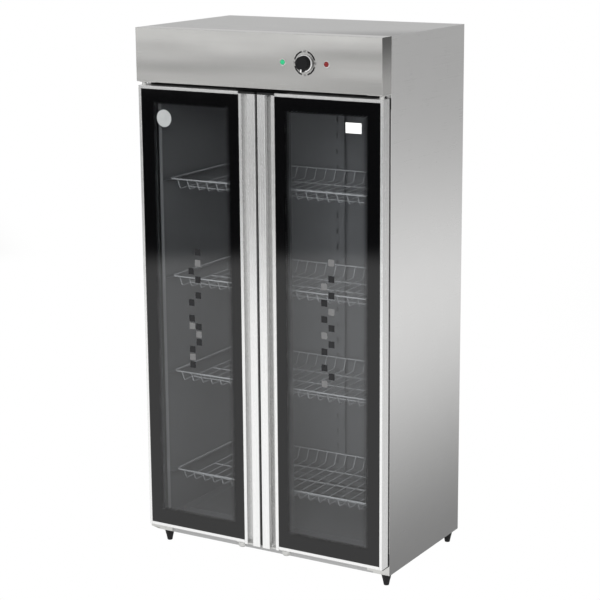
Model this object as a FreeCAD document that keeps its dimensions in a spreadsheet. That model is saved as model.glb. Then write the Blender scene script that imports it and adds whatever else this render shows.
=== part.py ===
import FreeCAD
import Part
import Sketcher
import os
import re

# Two-door dish sterilizer cabinet: a folded stainless body on four feet, a control header along the
# top, two framed glass doors on corner pivots, four wire racks, a drip tray and a heater.
# Frame: +Z up, X across the front, the doors face -Y. The origin is under the middle of the whole
# cabinet, at floor level. All lengths are millimetres.

# Driving dimensions: (name, value, what it measures).
DIMENSIONS = [
    ("cabinet_width", 834.0, "outer width of the body"),
    ("body_depth", 470.0, "front flange to back panel"),
    ("body_height", 1600.0, "bottom edge to top skin"),
    ("foot_height", 40.0, "floor to bottom edge of the body"),
    ("foot_top_radius", 16.0, "foot where it meets the base"),
    ("foot_sole_radius", 8.0, "foot where it meets the floor"),
    ("foot_inset", 24.0, "foot centre from the side of the body"),
    ("foot_setback", 26.0, "foot centre from the front and the back"),
    ("skin_gauge", 0.8, "sheet of the outer skins and the liner"),
    ("bend_radius", 1.6, "outer radius of the folded corners"),
    ("front_flange", 38.0, "width of the side panel's front flange"),
    ("back_flange", 24.0, "width of the flanges behind the back panel's edge"),
    ("frame_gauge", 1.2, "sheet of the front frame"),
    ("frame_return", 14.0, "depth of the front frame's inward return"),
    ("side_wall", 29.0, "outer skin to inside of the chamber, at the sides"),
    ("back_wall", 25.0, "outer skin to inside of the chamber, at the back"),
    ("floor_rise", 52.0, "body bottom to chamber floor"),
    ("opening_rise", 64.0, "body bottom to lower edge of the front opening"),
    ("ceiling_drop", 198.0, "body top to chamber ceiling"),
    ("opening_drop", 208.0, "body top to upper edge of the front opening"),
    ("front_rail", 27.0, "height of the base panel's front rail"),
    ("insulation_slack", 0.3, "insulation slab to each skin"),
    ("header_height", 161.0, "height of the control header"),
    ("header_gauge", 1.2, "sheet of the control header"),
    ("header_ahead", 7.0, "header front ahead of the door front"),
    ("door_stand", 48.0, "door front ahead of the body front"),
    ("door_thick", 38.0, "depth of the door frame"),
    ("door_top_gap", 12.0, "header underside to door top"),
    ("door_raise", 34.0, "body bottom to door bottom"),
    ("door_side_inset", 0.5, "door edge inside the body's side"),
    ("meeting_gap", 8.0, "between the two handle strips"),
    ("lip_width", 9.0, "aluminium lip around the glass"),
    ("glass_recess", 1.2, "lip front to glass front"),
    ("glass_thick", 5.0, "door glass"),
    ("glass_play", 0.3, "lip to edge of the glass"),
    ("stile_width", 36.0, "hinge stile and rails"),
    ("profile_wall", 2.0, "wall of the aluminium extrusions"),
    ("seat_width", 33.0, "handle stile behind the glass"),
    ("inner_lip", 10.0, "handle stile's lip beside the glass"),
    ("finger_width", 20.5, "mouth of the finger recess"),
    ("finger_depth", 20.0, "door front to floor of the finger recess"),
    ("finger_undercut", 10.0, "recess behind the handle strip"),
    ("strip_nose", 9.0, "depth of the handle strip over the undercut"),
    ("strip_width", 26.5, "raised handle strip"),
    ("strip_proud", 3.0, "handle strip ahead of the door front"),
    ("strip_round", 2.0, "radius of the handle strip's edges"),
    ("stile_overhang", 4.0, "handle stile below the door bottom"),
    ("cap_height", 6.0, "plastic cap at the top of the handle stile"),
    ("plug_height", 5.0, "plug at the foot of the finger recess"),
    ("seal_thick", 3.0, "rubber seal on the meeting edge"),
    ("seal_setback", 6.0, "meeting seal behind the door front"),
    ("gasket_width", 14.0, "door gasket across its face"),
    ("gasket_edge", 16.0, "gasket from the hinge edge, top and bottom"),
    ("gasket_meeting", 6.0, "gasket from the meeting edge"),
    ("gasket_slack", 0.3, "gasket to the body front"),
    ("pivot_inset", 12.0, "hinge pin from the door's outer edge"),
    ("pivot_depth", 16.0, "hinge pin behind the door front"),
    ("pin_radius", 4.0, "hinge pin"),
    ("pin_play", 0.06, "hinge pin to bush, on the radius"),
    ("pin_reach", 24.0, "pin inside the door"),
    ("bush_height", 30.0, "bush block inside the stile"),
    ("bush_slack", 0.2, "bush block to stile wall"),
    ("collar_radius", 7.0, "bush collar"),
    ("bracket_gauge", 3.0, "steel of the hinge brackets"),
    ("bracket_length", 54.0, "hinge bracket along the door"),
    ("bracket_setback", 7.0, "hinge bracket behind the door front"),
    ("bracket_nose", 7.0, "height of the lower bracket's front edge"),
    ("thrust_gap", 3.0, "lower bracket to door bottom"),
    ("hinge_slack", 0.3, "bush collar to bracket"),
    ("spacer_thick", 6.0, "black spacer between door and body"),
    ("spacer_height", 32.0, "black spacer, top and bottom"),
    ("spacer_width", 14.0, "black spacer across the flange"),
    ("glide_radius", 13.0, "round glide under the door"),
    ("glide_shank", 7.0, "straight part of the round glide"),
    ("glide_drop", 17.0, "round glide below the handle stile"),
    ("glide_sole_radius", 7.0, "sole of the round glide"),
    ("glide_inset", 79.0, "glide from the middle of the cabinet"),
    ("glide_depth", 15.0, "glide behind the door front"),
    ("top_rack_height", 1133.0, "body bottom to rim of the highest rack"),
    ("rack_pitch", 306.0, "between the three upper racks"),
    ("low_rack_height", 196.0, "body bottom to rim of the lowest rack"),
    ("rack_setback", 45.0, "body front to rack rim"),
    ("rack_back_gap", 16.0, "rack rim to chamber back"),
    ("rack_side_gap", 12.0, "rack rim to chamber side"),
    ("rim_radius", 2.5, "rim wire"),
    ("rim_corner", 14.0, "bend of the rim wire"),
    ("wire_radius", 1.6, "cross wire"),
    ("wire_dip", 32.0, "cross wires below the rim"),
    ("wire_slope", 20.0, "run of the cross wire's slope"),
    ("wire_pitch", 35.0, "between cross wires"),
    ("wire_margin", 25.0, "least run of a rack beside its outer cross wires"),
    ("wire_lead", 4.0, "level start of a cross wire"),
    ("stringer_radius", 2.0, "long wires under the cross wires"),
    ("stringer_inset", 77.0, "outer long wires from the rim, front and back"),
    ("weld_sink", 0.6, "overlap where two wires are welded"),
    ("seat_gap", 0.3, "resting piece to what carries it"),
    ("runner_gauge", 1.2, "sheet of the rack runners"),
    ("runner_shelf", 20.0, "runner shelf under the rack's rim"),
    ("runner_height", 14.0, "runner leg on the liner"),
    ("runner_setback", 20.0, "runner from the front frame"),
    ("post_width", 28.0, "rear corner post"),
    ("post_depth", 12.0, "rear post off the liner"),
    ("post_gauge", 1.0, "sheet of the rear posts"),
    ("center_post_width", 50.0, "rear centre post"),
    ("slot_width", 6.0, "slot in a rear post"),
    ("slot_height", 16.0, "slot in a rear post"),
    ("slot_pitch", 51.0, "between slots in a rear post"),
    ("slot_start", 60.0, "lowest slot above the chamber floor"),
    ("tray_height", 22.0, "drip tray"),
    ("tray_gauge", 0.8, "sheet of the drip tray"),
    ("tray_side_gap", 34.0, "drip tray to chamber side"),
    ("tray_setback", 45.0, "body front to drip tray"),
    ("guard_gap", 6.0, "drip tray to heater guard"),
    ("guard_stand", 82.0, "heater guard ahead of the chamber back"),
    ("guard_height", 86.0, "heater guard above the chamber floor"),
    ("guard_gauge", 1.0, "sheet of the heater guard"),
    ("guard_length", 640.0, "heater guard across the chamber"),
    ("guard_slot_length", 60.0, "slot in the heater guard"),
    ("guard_slot_height", 6.0, "slot in the heater guard"),
    ("guard_slot_pitch", 75.0, "between slots across the heater guard"),
    ("guard_slot_count", 8.0, "slots across the heater guard"),
    ("guard_row_start", 17.0, "lowest row of slots in the heater guard"),
    ("guard_row_pitch", 15.5, "between the rows of slots in the heater guard"),
    ("heater_radius", 6.0, "quartz heater tube"),
    ("heater_length", 560.0, "quartz heater tube"),
    ("heater_height", 40.0, "lower heater tube above the chamber floor"),
    ("heater_pitch", 26.0, "between the heater tubes"),
    ("heater_stand", 34.0, "heater tube ahead of the chamber back"),
    ("holder_width", 20.0, "ceramic heater holder"),
    ("holder_height", 56.0, "ceramic heater holder"),
    ("knob_offset", 168.0, "timer knob right of the middle"),
    ("lamp_spread", 72.0, "lamp to timer knob"),
    ("control_drop", 81.0, "body top to the row of controls"),
    ("knob_radius", 22.0, "timer knob grip"),
    ("knob_taper", 1.5, "grip radius lost towards the front"),
    ("knob_stand", 22.0, "header front to knob front"),
    ("knob_gap", 0.8, "header front to knob ring"),
    ("ring_radius", 25.0, "bright ring under the knob"),
    ("ring_thick", 3.0, "bright ring under the knob"),
    ("shaft_radius", 3.0, "timer shaft"),
    ("shaft_play", 0.05, "timer shaft to its bush, on the radius"),
    ("timer_hole", 5.0, "hole in the header for the timer, radius"),
    ("timer_width", 46.0, "timer movement, square"),
    ("timer_depth", 36.0, "timer movement behind the header"),
    ("lamp_hole", 6.0, "hole in the header for a lamp, radius"),
    ("bezel_radius", 10.0, "chrome lamp bezel"),
    ("bezel_thick", 3.0, "chrome lamp bezel"),
    ("lens_radius", 7.5, "lamp lens"),
    ("lens_face_radius", 5.2, "front of the lamp lens"),
    ("lens_stand", 6.0, "lamp lens ahead of the header"),
    ("lamp_depth", 26.0, "lamp holder behind the header"),
    ("grommet_radius", 12.0, "rubber cable grommet flange"),
    ("grommet_hole", 8.0, "hole in the back panel, radius"),
    ("grommet_bore", 4.0, "cable way through the grommet, radius"),
    ("grommet_stand", 3.0, "grommet behind the back panel"),
    ("grommet_drop", 110.0, "body top to cable grommet"),
    ("screw_radius", 4.0, "screw head on the back panel"),
    ("screw_face_radius", 2.8, "outer face of the screw head"),
    ("screw_head", 2.0, "screw head on the back panel"),
    ("screw_inset", 12.0, "screw from the edge of the back panel"),
    ("vent_length", 40.0, "vent slot in the back panel"),
    ("vent_height", 4.0, "vent slot in the back panel"),
    ("vent_pitch", 60.0, "between vent slots across the back"),
    ("vent_count", 8.0, "vent slots in a row"),
    ("vent_row_pitch", 14.0, "between the vent rows"),
    ("terminal_width", 92.0, "terminal block"),
    ("terminal_depth", 46.0, "terminal block"),
    ("terminal_height", 23.0, "terminal block"),
]

# Places worked out from the driving dimensions, as sheet formulas.
PLACES = [
    ("half_width", "cabinet_width / 2"),
    ("ahead_of_body", "knob_stand + header_ahead + door_stand"),
    ("body_front", "(ahead_of_body - body_depth - grommet_stand) / 2"),
    ("body_back", "body_front + body_depth"),
    ("body_top", "foot_height + body_height"),
    ("header_front", "body_front - door_stand - header_ahead"),
    ("header_bottom", "body_top - header_height"),
    ("door_front", "body_front - door_stand"),
    ("door_back", "door_front + door_thick"),
    ("door_bottom", "foot_height + door_raise"),
    ("door_top", "header_bottom - door_top_gap"),
    ("door_outer", "door_side_inset - half_width"),
    ("door_width", "half_width - meeting_gap / 2 - door_side_inset"),
    ("glass_seat", "glass_recess + glass_thick"),
    ("handle_width", "inner_lip + finger_width + strip_width"),
    ("glass_end", "door_width - handle_width"),
    ("chamber_half", "half_width - side_wall"),
    ("chamber_front", "body_front + skin_gauge + frame_gauge"),
    ("chamber_back", "body_back - back_wall"),
    ("chamber_floor", "foot_height + floor_rise"),
    ("chamber_ceiling", "body_top - ceiling_drop"),
    ("opening_half", "half_width - front_flange"),
    ("opening_bottom", "foot_height + opening_rise"),
    ("opening_top", "body_top - opening_drop"),
    ("pivot_place", "door_outer + pivot_inset"),
    ("pivot_line", "door_front + pivot_depth"),
    ("lower_plate", "door_bottom - thrust_gap"),
    ("rack_half", "chamber_half - rack_side_gap"),
    ("rack_front", "body_front + rack_setback"),
    ("rack_depth", "chamber_back - rack_back_gap - rack_front"),
    ("wire_count", "floor((rack_half - wire_margin) * 2 / wire_pitch) + 1"),
    ("comb_depth", "wire_lead + wire_slope + rim_radius"),
    ("slot_rise", "chamber_ceiling - chamber_floor - slot_start * 2 - slot_height"),
    ("slot_count", "floor(slot_rise / slot_pitch) + 1"),
    ("guard_front", "chamber_back - guard_stand"),
    ("control_height", "body_top - control_drop"),
]

OUT_FOLDER = "parts"
VENT_ROWS = 3
GUARD_ROWS = 4
SIDE_SCREWS = 5
HEATER_TUBES = 2
SPOT_SLACK = 0.01
SHORTEST_UPRIGHT = 1.0

doc = FreeCAD.newDocument("sterilizer_cabinet")
sheet = doc.addObject("Spreadsheet::Sheet", "dims")
ALIASES = {name for name, *_ in DIMENSIONS + PLACES}
handed_in = []


def fill_sheet():
    """Write the driving dimensions as plain numbers and the places as formulas."""
    for row, (name, value, meaning) in enumerate(DIMENSIONS, 1):
        sheet.set(f"A{row}", meaning)
        sheet.set(f"B{row}", str(value))
        sheet.setAlias(f"B{row}", name)
    for row, (name, formula) in enumerate(PLACES, len(DIMENSIONS) + 1):
        sheet.set(f"A{row}", name)
        sheet.set(f"B{row}", "=" + formula)
        sheet.setAlias(f"B{row}", name)
    doc.recompute()


def linked(text):
    """Turn dimension names in an expression into references to the sheet."""
    def refer(word):
        name = word.group()
        return "dims." + name if name in ALIASES else name
    return re.sub(r"[a-z_]+", refer, str(text))


def bind(thing, settings):
    """Bind each named property of an object to an expression of the sheet."""
    for prop, text in settings.items():
        thing.setExpression(prop, linked(text))
    return thing


def place(thing, x=0, y=0, z=0):
    """Bind an object's position."""
    spots = {"Placement.Base.x": x, "Placement.Base.y": y, "Placement.Base.z": z}
    return bind(thing, spots)


def keep(thing, label):
    """Mark an object as a finished sub-part."""
    thing.Label = label
    handed_in.append(thing)
    return thing


# ---------------------------------------------------------------- solids from primitives

def block(x, y, z, name="block"):
    """Box between two expressions along each axis."""
    box = doc.addObject("Part::Box", name)
    spans = [f"({high}) - ({low})" for low, high in (x, y, z)]
    bind(box, dict(zip(("Length", "Width", "Height"), spans)))
    return place(box, x[0], y[0], z[0])


AXIS_TURNS = {
    "x": FreeCAD.Rotation(FreeCAD.Vector(0, 1, 0), 90),
    "y": FreeCAD.Rotation(FreeCAD.Vector(1, 0, 0), -90),
    "z": FreeCAD.Rotation(),
}


def along(thing, axis, centre, start):
    """Stand a round solid along an axis, at its centre line and start."""
    thing.Placement = FreeCAD.Placement(FreeCAD.Vector(), AXIS_TURNS[axis])
    first, second = centre
    spot = {"x": (start, first, second), "y": (first, start, second), "z": (first, second, start)}
    return place(thing, *spot[axis])


def rod(axis, radius, centre, span, name="rod"):
    """Cylinder along an axis between two expressions."""
    cylinder = doc.addObject("Part::Cylinder", name)
    bind(cylinder, {"Radius": radius, "Height": f"({span[1]}) - ({span[0]})"})
    return along(cylinder, axis, centre, span[0])


def taper(axis, radii, centre, span, name="taper"):
    """Cone along an axis between two expressions."""
    cone = doc.addObject("Part::Cone", name)
    height = f"({span[1]}) - ({span[0]})"
    bind(cone, {"Radius1": radii[0], "Radius2": radii[1], "Height": height})
    return along(cone, axis, centre, span[0])


def cut(base, tools, name="cut"):
    """Base less one or more tools."""
    result = doc.addObject("Part::Cut", name)
    result.Base = base
    result.Tool = tools[0] if len(tools) == 1 else fuse(tools)
    return result


def wedge(x, y, lows, high, name="wedge"):
    """Box whose underside slopes between two heights, front and back."""
    solid = doc.addObject("Part::Wedge", name)
    near, far = lows
    return bind(solid, {"Xmin": x[0], "X2min": x[0], "Xmax": x[1], "X2max": x[1],
                        "Ymin": y[0], "Ymax": y[1], "Zmin": near, "Z2min": far,
                        "Zmax": high, "Z2max": high})


def fuse(things, name="fuse"):
    """One solid from several."""
    result = doc.addObject("Part::MultiFuse", name)
    result.Shapes = things
    result.Refine = True
    return result


def common(base, tool):
    """The part of a base that lies inside a tool."""
    result = doc.addObject("Part::Common", "common")
    result.Base = base
    result.Tool = tool
    return result


def group(things, name="group"):
    """Separate solids that share a node."""
    result = doc.addObject("Part::Compound", name)
    result.Links = things
    return result


def mirrored(thing):
    """The same piece on the other side of the cabinet."""
    result = doc.addObject("Part::Mirroring", "mirrored")
    result.Source = thing
    result.Normal = FreeCAD.Vector(1, 0, 0)
    return result


def both_sides(thing):
    """A left piece and its mirror image."""
    return [thing, mirrored(thing)]


def shifted(thing, x=0, y=0, z=0):
    """A copy of a piece, moved."""
    return place(group([thing], "copy"), x, y, z)


# ---------------------------------------------------------------- solids from sketches

def origin_part(body, role):
    """One of a body's own origin planes or axes."""
    return next(part for part in body.Origin.OriginFeatures if part.Role == role)


def new_sketch(body, plane="XY_Plane"):
    """Sketch on one of a body's own planes."""
    sketch = body.newObject("Sketcher::SketchObject", "profile")
    sketch.AttachmentSupport = (origin_part(body, plane), "")
    sketch.MapMode = "FlatFace"
    return sketch


def pin_point(sketch, line, end, spot):
    """Hold one end of a sketch line at a place given by two expressions."""
    for kind, text, axis in (("DistanceX", spot[0], -2), ("DistanceY", spot[1], -1)):
        if text == 0:
            sketch.addConstraint(Sketcher.Constraint("PointOnObject", line, end, axis))
            continue
        value = number(text)
        held = sketch.addConstraint(Sketcher.Constraint(kind, -1, 1, line, end, value))
        sketch.setExpression(f"Constraints[{held}]", linked(text))


def number(text):
    """The present value of an expression of the sheet."""
    words = re.sub(r"[a-z_]+", lambda word: repr(float(sheet.get(word.group()))), str(text))
    return FreeCAD.Units.Quantity(words).Value


def outline(sketch, corners, closed=True):
    """Straight-sided path through corners given as pairs of expressions."""
    spots = [FreeCAD.Vector(number(x), number(y), 0) for x, y in corners]
    ends = spots[1:] + spots[:1] if closed else spots[1:]
    first = sketch.GeometryCount
    for start, stop in zip(spots, ends):
        sketch.addGeometry(Part.LineSegment(start, stop), False)
    count = len(ends)
    for step in range(count if closed else count - 1):
        line, after = first + step, first + (step + 1) % count
        sketch.addConstraint(Sketcher.Constraint("Coincident", line, 2, after, 1))
    for step, spot in enumerate(corners[:count]):
        pin_point(sketch, first + step, 1, spot)
    if not closed:
        pin_point(sketch, first + count - 1, 2, corners[-1])


def rectangle(sketch, x, y):
    """Closed rectangle between two expressions each way."""
    outline(sketch, [(x[0], y[0]), (x[1], y[0]), (x[1], y[1]), (x[0], y[1])])


def circle(sketch, radius, centre):
    """Circle at a place given by expressions."""
    spot = FreeCAD.Vector(number(centre[0]), number(centre[1]), 0)
    ring = sketch.addGeometry(Part.Circle(spot, FreeCAD.Vector(0, 0, 1), number(radius)), False)
    pin_point(sketch, ring, 3, centre)
    held = sketch.addConstraint(Sketcher.Constraint("Radius", ring, number(radius)))
    sketch.setExpression(f"Constraints[{held}]", linked(radius))


def pad(body, sketch, length, reverse=False):
    """Solid raised from a closed sketch."""
    result = body.newObject("PartDesign::Pad", "pad")
    result.Profile = sketch
    result.Reversed = reverse
    return bind(result, {"Length": length})


def pocket(body, sketch, length):
    """Cut into the body along a closed sketch."""
    result = body.newObject("PartDesign::Pocket", "pocket")
    result.Profile = sketch
    return bind(result, {"Length": length})


def repeat(body, feature, role, count, pitch):
    """Row of copies of one feature along one of the body's axes."""
    row = body.newObject("PartDesign::LinearPattern", "row")
    row.Originals = [feature]
    row.Direction = (origin_part(body, role), [""])
    bind(row, {"Occurrences": count, "Length": f"({count} - 1) * {pitch}"})
    body.Tip = row
    return row


def round_upright(body, feature, corners, radius):
    """Round the upright edges that stand at the given corners of a profile."""
    doc.recompute()
    spots = [(number(x), number(y)) for x, y in corners]
    names = []
    for index, edge in enumerate(feature.Shape.Edges, 1):
        ends = [vertex.Point for vertex in edge.Vertexes]
        if len(ends) != 2 or abs(ends[0].z - ends[1].z) < SHORTEST_UPRIGHT:
            continue
        foot = ends[0]
        if any(abs(foot.x - x) + abs(foot.y - y) < SPOT_SLACK for x, y in spots):
            names.append(f"Edge{index}")
    result = body.newObject("PartDesign::Fillet", "bend")
    result.Base = (feature, names)
    return bind(result, {"Radius": radius})


def extrusion(name, corners, hollows, length, spot, rounds=(), radius=None):
    """Upright bar with a polygonal section, rectangular hollows and rounded outer edges."""
    body = doc.addObject("PartDesign::Body", name)
    sketch = new_sketch(body)
    outline(sketch, corners)
    for x, y in hollows:
        rectangle(sketch, x, y)
    bar = pad(body, sketch, length)
    if rounds:
        round_upright(body, bar, rounds, radius)
    return place(body, *spot)


# ---------------------------------------------------------------- body shell

def side_panels():
    """Folded side skins: the outer face, a front flange and a narrow back flange."""
    gauge, back = "skin_gauge", "body_depth - skin_gauge"
    corners = [(0, 0), ("front_flange", 0), ("front_flange", gauge), (gauge, gauge),
               (gauge, f"{back} - {gauge}"), ("back_flange", f"{back} - {gauge}"),
               ("back_flange", back), (0, back)]
    spot = ("-half_width", "body_front", "foot_height")
    panel = extrusion("left_side", corners, [], "body_height", spot, [(0, 0)], "bend_radius")
    keep(panel, "side_panel_left")
    keep(mirrored(panel), "side_panel_right")


def between_skins():
    """Span across and in depth inside the side panels and their back flanges."""
    inside = "half_width - skin_gauge"
    return (f"-({inside})", inside), ("body_front + skin_gauge", "body_back - skin_gauge * 2")


def between_back_flanges():
    """Span of a flange that fills the gap between the side panels' back flanges."""
    across = ("back_flange - half_width", "half_width - back_flange")
    return across, ("body_back - skin_gauge * 2", "body_back - skin_gauge")


def top_panel():
    """Flat top skin with a flange turned down behind the back panel's edge."""
    across, depth = between_skins()
    skin = block(across, depth, ("body_top - skin_gauge", "body_top"))
    lip = block(*between_back_flanges(), ("body_top - back_flange", "body_top"))
    keep(fuse([skin, lip]), "top_panel")


def base_panel():
    """Bottom pan with a front rail between the side flanges and a flange at the back."""
    across, depth = between_skins()
    pan = block(across, depth, ("foot_height", "foot_height + skin_gauge"))
    rail = block(("-opening_half", "opening_half"), ("body_front", "body_front + skin_gauge"),
                 ("foot_height", "foot_height + front_rail"))
    lip = block(*between_back_flanges(), ("foot_height", "foot_height + back_flange"))
    keep(fuse([pan, rail, lip]), "base_panel")


def back_panel():
    """Flat back with rows of vent slots near the top."""
    body = doc.addObject("PartDesign::Body", "back")
    sheet_sketch = new_sketch(body, "XZ_Plane")
    rectangle(sheet_sketch, (0, "cabinet_width"), (0, "body_height"))
    pad(body, sheet_sketch, "skin_gauge", reverse=True)
    row_start = "(cabinet_width - vent_length - (vent_count - 1) * vent_pitch) / 2"
    across = (row_start, f"{row_start} + vent_length")
    for row in range(VENT_ROWS):
        low = f"body_height - control_drop - {row} * vent_row_pitch"
        slot_sketch = new_sketch(body, "XZ_Plane")
        rectangle(slot_sketch, across, (low, f"{low} + vent_height"))
        slot = pocket(body, slot_sketch, "skin_gauge * 2")
        repeat(body, slot, "X_Axis", "vent_count", "vent_pitch")
    place(body, "-half_width", "body_back - skin_gauge", "foot_height")
    through = ("body_back - screw_inset", "body_back + screw_inset")
    hole = rod("y", "grommet_hole", grommet_centre(), through)
    keep(cut(body, [hole]), "back_panel")


def front_frame():
    """Sheet ring around the door opening with a return turned into the chamber."""
    inside, seat = "half_width - skin_gauge", "body_front + skin_gauge"
    upright = ("foot_height + front_rail", "body_top - skin_gauge")
    plate = block((f"-({inside})", inside), (seat, "chamber_front"), upright)
    turned = block(("-opening_half - frame_gauge", "opening_half + frame_gauge"),
                   (seat, "chamber_front + frame_return"),
                   ("opening_bottom - frame_gauge", "opening_top + frame_gauge"))
    mouth = block(("-opening_half", "opening_half"), ("body_front", "chamber_front + front_flange"),
                  ("opening_bottom", "opening_top"))
    keep(cut(fuse([plate, turned]), [mouth]), "front_frame")


def liner():
    """The five sheets of the chamber."""
    gauge = "skin_gauge"
    depth = ("chamber_front", "chamber_back")
    upright = (f"chamber_floor - {gauge}", f"chamber_ceiling + {gauge}")
    side = block((f"-chamber_half - {gauge}", "-chamber_half"), depth, upright)
    keep(side, "liner_left")
    keep(mirrored(side), "liner_right")
    across = (f"-chamber_half - {gauge}", f"chamber_half + {gauge}")
    keep(block(across, ("chamber_back", f"chamber_back + {gauge}"), upright), "liner_back")
    between = ("-chamber_half", "chamber_half")
    keep(block(between, depth, ("chamber_ceiling", f"chamber_ceiling + {gauge}")), "liner_ceiling")
    keep(block(between, depth, (f"chamber_floor - {gauge}", "chamber_floor")), "liner_floor")


def insulation():
    """Slabs between the liner and the outer skins at the sides and the back."""
    slack = "insulation_slack"
    upright = ("foot_height + front_rail", "chamber_ceiling")
    side = block((f"skin_gauge + {slack} - half_width", f"-chamber_half - skin_gauge - {slack}"),
                 (f"chamber_front + {slack}", f"chamber_back - {slack}"), upright)
    depth = (f"chamber_back + skin_gauge + {slack}", f"body_back - skin_gauge * 2 - {slack}")
    back = block((f"skin_gauge + {slack} - half_width", f"half_width - skin_gauge - {slack}"),
                 depth, upright)
    keep(group(both_sides(side) + [back]), "insulation")


def header_panel():
    """Folded control canopy, open at the back, pierced for the timer and the two lamps."""
    body = doc.addObject("PartDesign::Body", "canopy")
    depth = "door_stand + header_ahead"
    face = new_sketch(body, "XZ_Plane")
    rectangle(face, (0, "cabinet_width"), (0, "header_height"))
    blank = pad(body, face, depth, reverse=True)
    doc.recompute()
    names = [f"Edge{index}" for index, edge in enumerate(blank.Shape.Edges, 1)
             if abs(edge.CenterOfMass.y) < SPOT_SLACK]
    bends = body.newObject("PartDesign::Fillet", "bends")
    bends.Base = (blank, names)
    bind(bends, {"Radius": "bend_radius"})
    place(body, "-half_width", "header_front", "header_bottom")
    wall = "header_gauge"
    hollow = block((f"{wall} - half_width", f"half_width - {wall}"),
                   (f"header_front + {wall}", "body_front + header_gauge"),
                   (f"header_bottom + {wall}", f"body_top - {wall}"))
    through = ("header_front - header_gauge", "header_front + header_gauge * 3")
    holes = [rod("y", "timer_hole", ("knob_offset", "control_height"), through)]
    for side in ("-", "+"):
        holes.append(rod("y", "lamp_hole", lamp_centre(side), through))
    keep(cut(cut(body, [hollow]), [group(holes)]), "header_panel")


def feet():
    """Four tapered rubber feet."""
    sole, top = "foot_sole_radius", "foot_top_radius"
    pairs = []
    for y in ("body_front + foot_setback", "body_back - foot_setback"):
        foot = taper("z", (sole, top), ("foot_inset - half_width", y), (0, "foot_height"))
        pairs += both_sides(foot)
    keep(group(pairs), "feet")


def back_screws():
    """Pan heads around the back panel."""
    across = [f"{sign}(half_width - screw_inset)" for sign in ("-", "")]
    heads = []
    for x in across:
        for step in range(SIDE_SCREWS):
            rise = f"(body_height - screw_inset * 4) * {step} / {SIDE_SCREWS - 1}"
            z = f"foot_height + screw_inset * 2 + {rise}"
            heads.append(screw_head(x, z))
    for z in ("foot_height + screw_inset", "body_top - screw_inset"):
        heads.append(screw_head("0", z))
    keep(group(heads), "back_screws")


def screw_head(x, z):
    """Tapered head against the back panel."""
    radii = ("screw_radius", "screw_face_radius")
    return taper("y", radii, (x, z), ("body_back", "body_back + screw_head"))


def grommet_centre():
    """X and Z of the cable grommet."""
    return ("half_width - grommet_drop", "body_top - grommet_drop")


def cable_grommet():
    """Rubber grommet for the supply cable."""
    centre = grommet_centre()
    flange = rod("y", "grommet_radius", centre, ("body_back", "body_back + grommet_stand"))
    inside = "body_back - skin_gauge"
    neck = rod("y", "grommet_hole", centre, (inside, "body_back"))
    inner = rod("y", "grommet_radius", centre, (f"{inside} - grommet_stand", inside))
    way = rod("y", "grommet_bore", centre, ("body_back - grommet_radius", "body_back + grommet_radius"))
    keep(cut(fuse([flange, neck, inner]), [way]), "cable_grommet")


# ---------------------------------------------------------------- doors

def door_x(along_door):
    """X of a place measured from the hinge edge of the left door."""
    return f"door_outer + {along_door}"


def door_y(depth):
    """Y of a place measured back from the door front."""
    return f"door_front + {depth}"


def hinge_stile():
    """Hollow upright at the hinge edge with a lip around the glass."""
    wall, width = "profile_wall", "stile_width"
    corners = [(0, 0), ("lip_width", 0), ("lip_width", "glass_seat"), (width, "glass_seat"),
               (width, "door_thick"), (0, "door_thick")]
    hollow = ((wall, f"{width} - {wall}"), (f"glass_seat + {wall}", f"door_thick - {wall}"))
    spot = ("door_outer", "door_front", "door_bottom")
    return extrusion("hinge_stile", corners, [hollow], "door_top - door_bottom", spot,
                     [(0, 0), ("lip_width", 0), (0, "door_thick")], "profile_wall / 2")


def handle_stile():
    """Hollow upright at the meeting edge: glass seat, inner lip, finger recess and raised strip."""
    wall, proud = "profile_wall", "strip_proud"
    seat_end = "seat_width"
    lip_end = f"{seat_end} + inner_lip"
    recess_end = f"{lip_end} + finger_width"
    under_end = f"{recess_end} + finger_undercut"
    edge = "seat_width + handle_width"
    floor = f"finger_depth + {proud}"
    nose = f"strip_nose + {proud}"
    seat, back = f"glass_seat + {proud}", f"door_thick + {proud}"
    corners = [(0, seat), (seat_end, seat), (seat_end, proud), (lip_end, proud), (lip_end, floor),
               (under_end, floor), (under_end, nose), (recess_end, nose), (recess_end, 0), (edge, 0),
               (edge, back), (0, back)]
    behind_glass = ((wall, f"{lip_end} - {wall}"), (f"{seat} + {wall}", f"{back} - {wall}"))
    behind_recess = ((lip_end, f"{edge} - {wall}"), (f"{floor} + {wall}", f"{back} - {wall}"))
    in_strip = ((f"{under_end} + {wall}", f"{edge} - {wall}"), (wall, floor))
    spot = (door_x("glass_end - seat_width"), f"door_front - {proud}", "door_bottom - stile_overhang")
    length = "door_top - cap_height - door_bottom + stile_overhang"
    return extrusion("handle_stile", corners, [behind_glass, behind_recess, in_strip], length, spot,
                     [(recess_end, 0), (edge, 0)], "strip_round")


def door_rail(low, high, lip):
    """Hollow rail between the stiles whose lip runs on across the hinge stile."""
    wall = "profile_wall"
    span = (door_x("stile_width"), door_x("glass_end - seat_width"))
    tube = block(span, (door_y("glass_seat"), "door_back"), (low, high))
    bore = block(span, (door_y(f"glass_seat + {wall}"), f"door_back - {wall}"),
                 (f"{low} + {wall}", f"{high} - {wall}"))
    across = (door_x("lip_width"), door_x("glass_end"))
    edge = block(across, ("door_front", door_y("glass_seat")), lip)
    return fuse([cut(tube, [bore]), edge])


def door_glass():
    """Pane set in behind the lip."""
    return block((door_x("lip_width + glass_play"), door_x("glass_end - glass_play")),
                 (door_y("glass_recess"), door_y("glass_seat")),
                 ("door_bottom + lip_width + glass_play", "door_top - lip_width - glass_play"))


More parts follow.
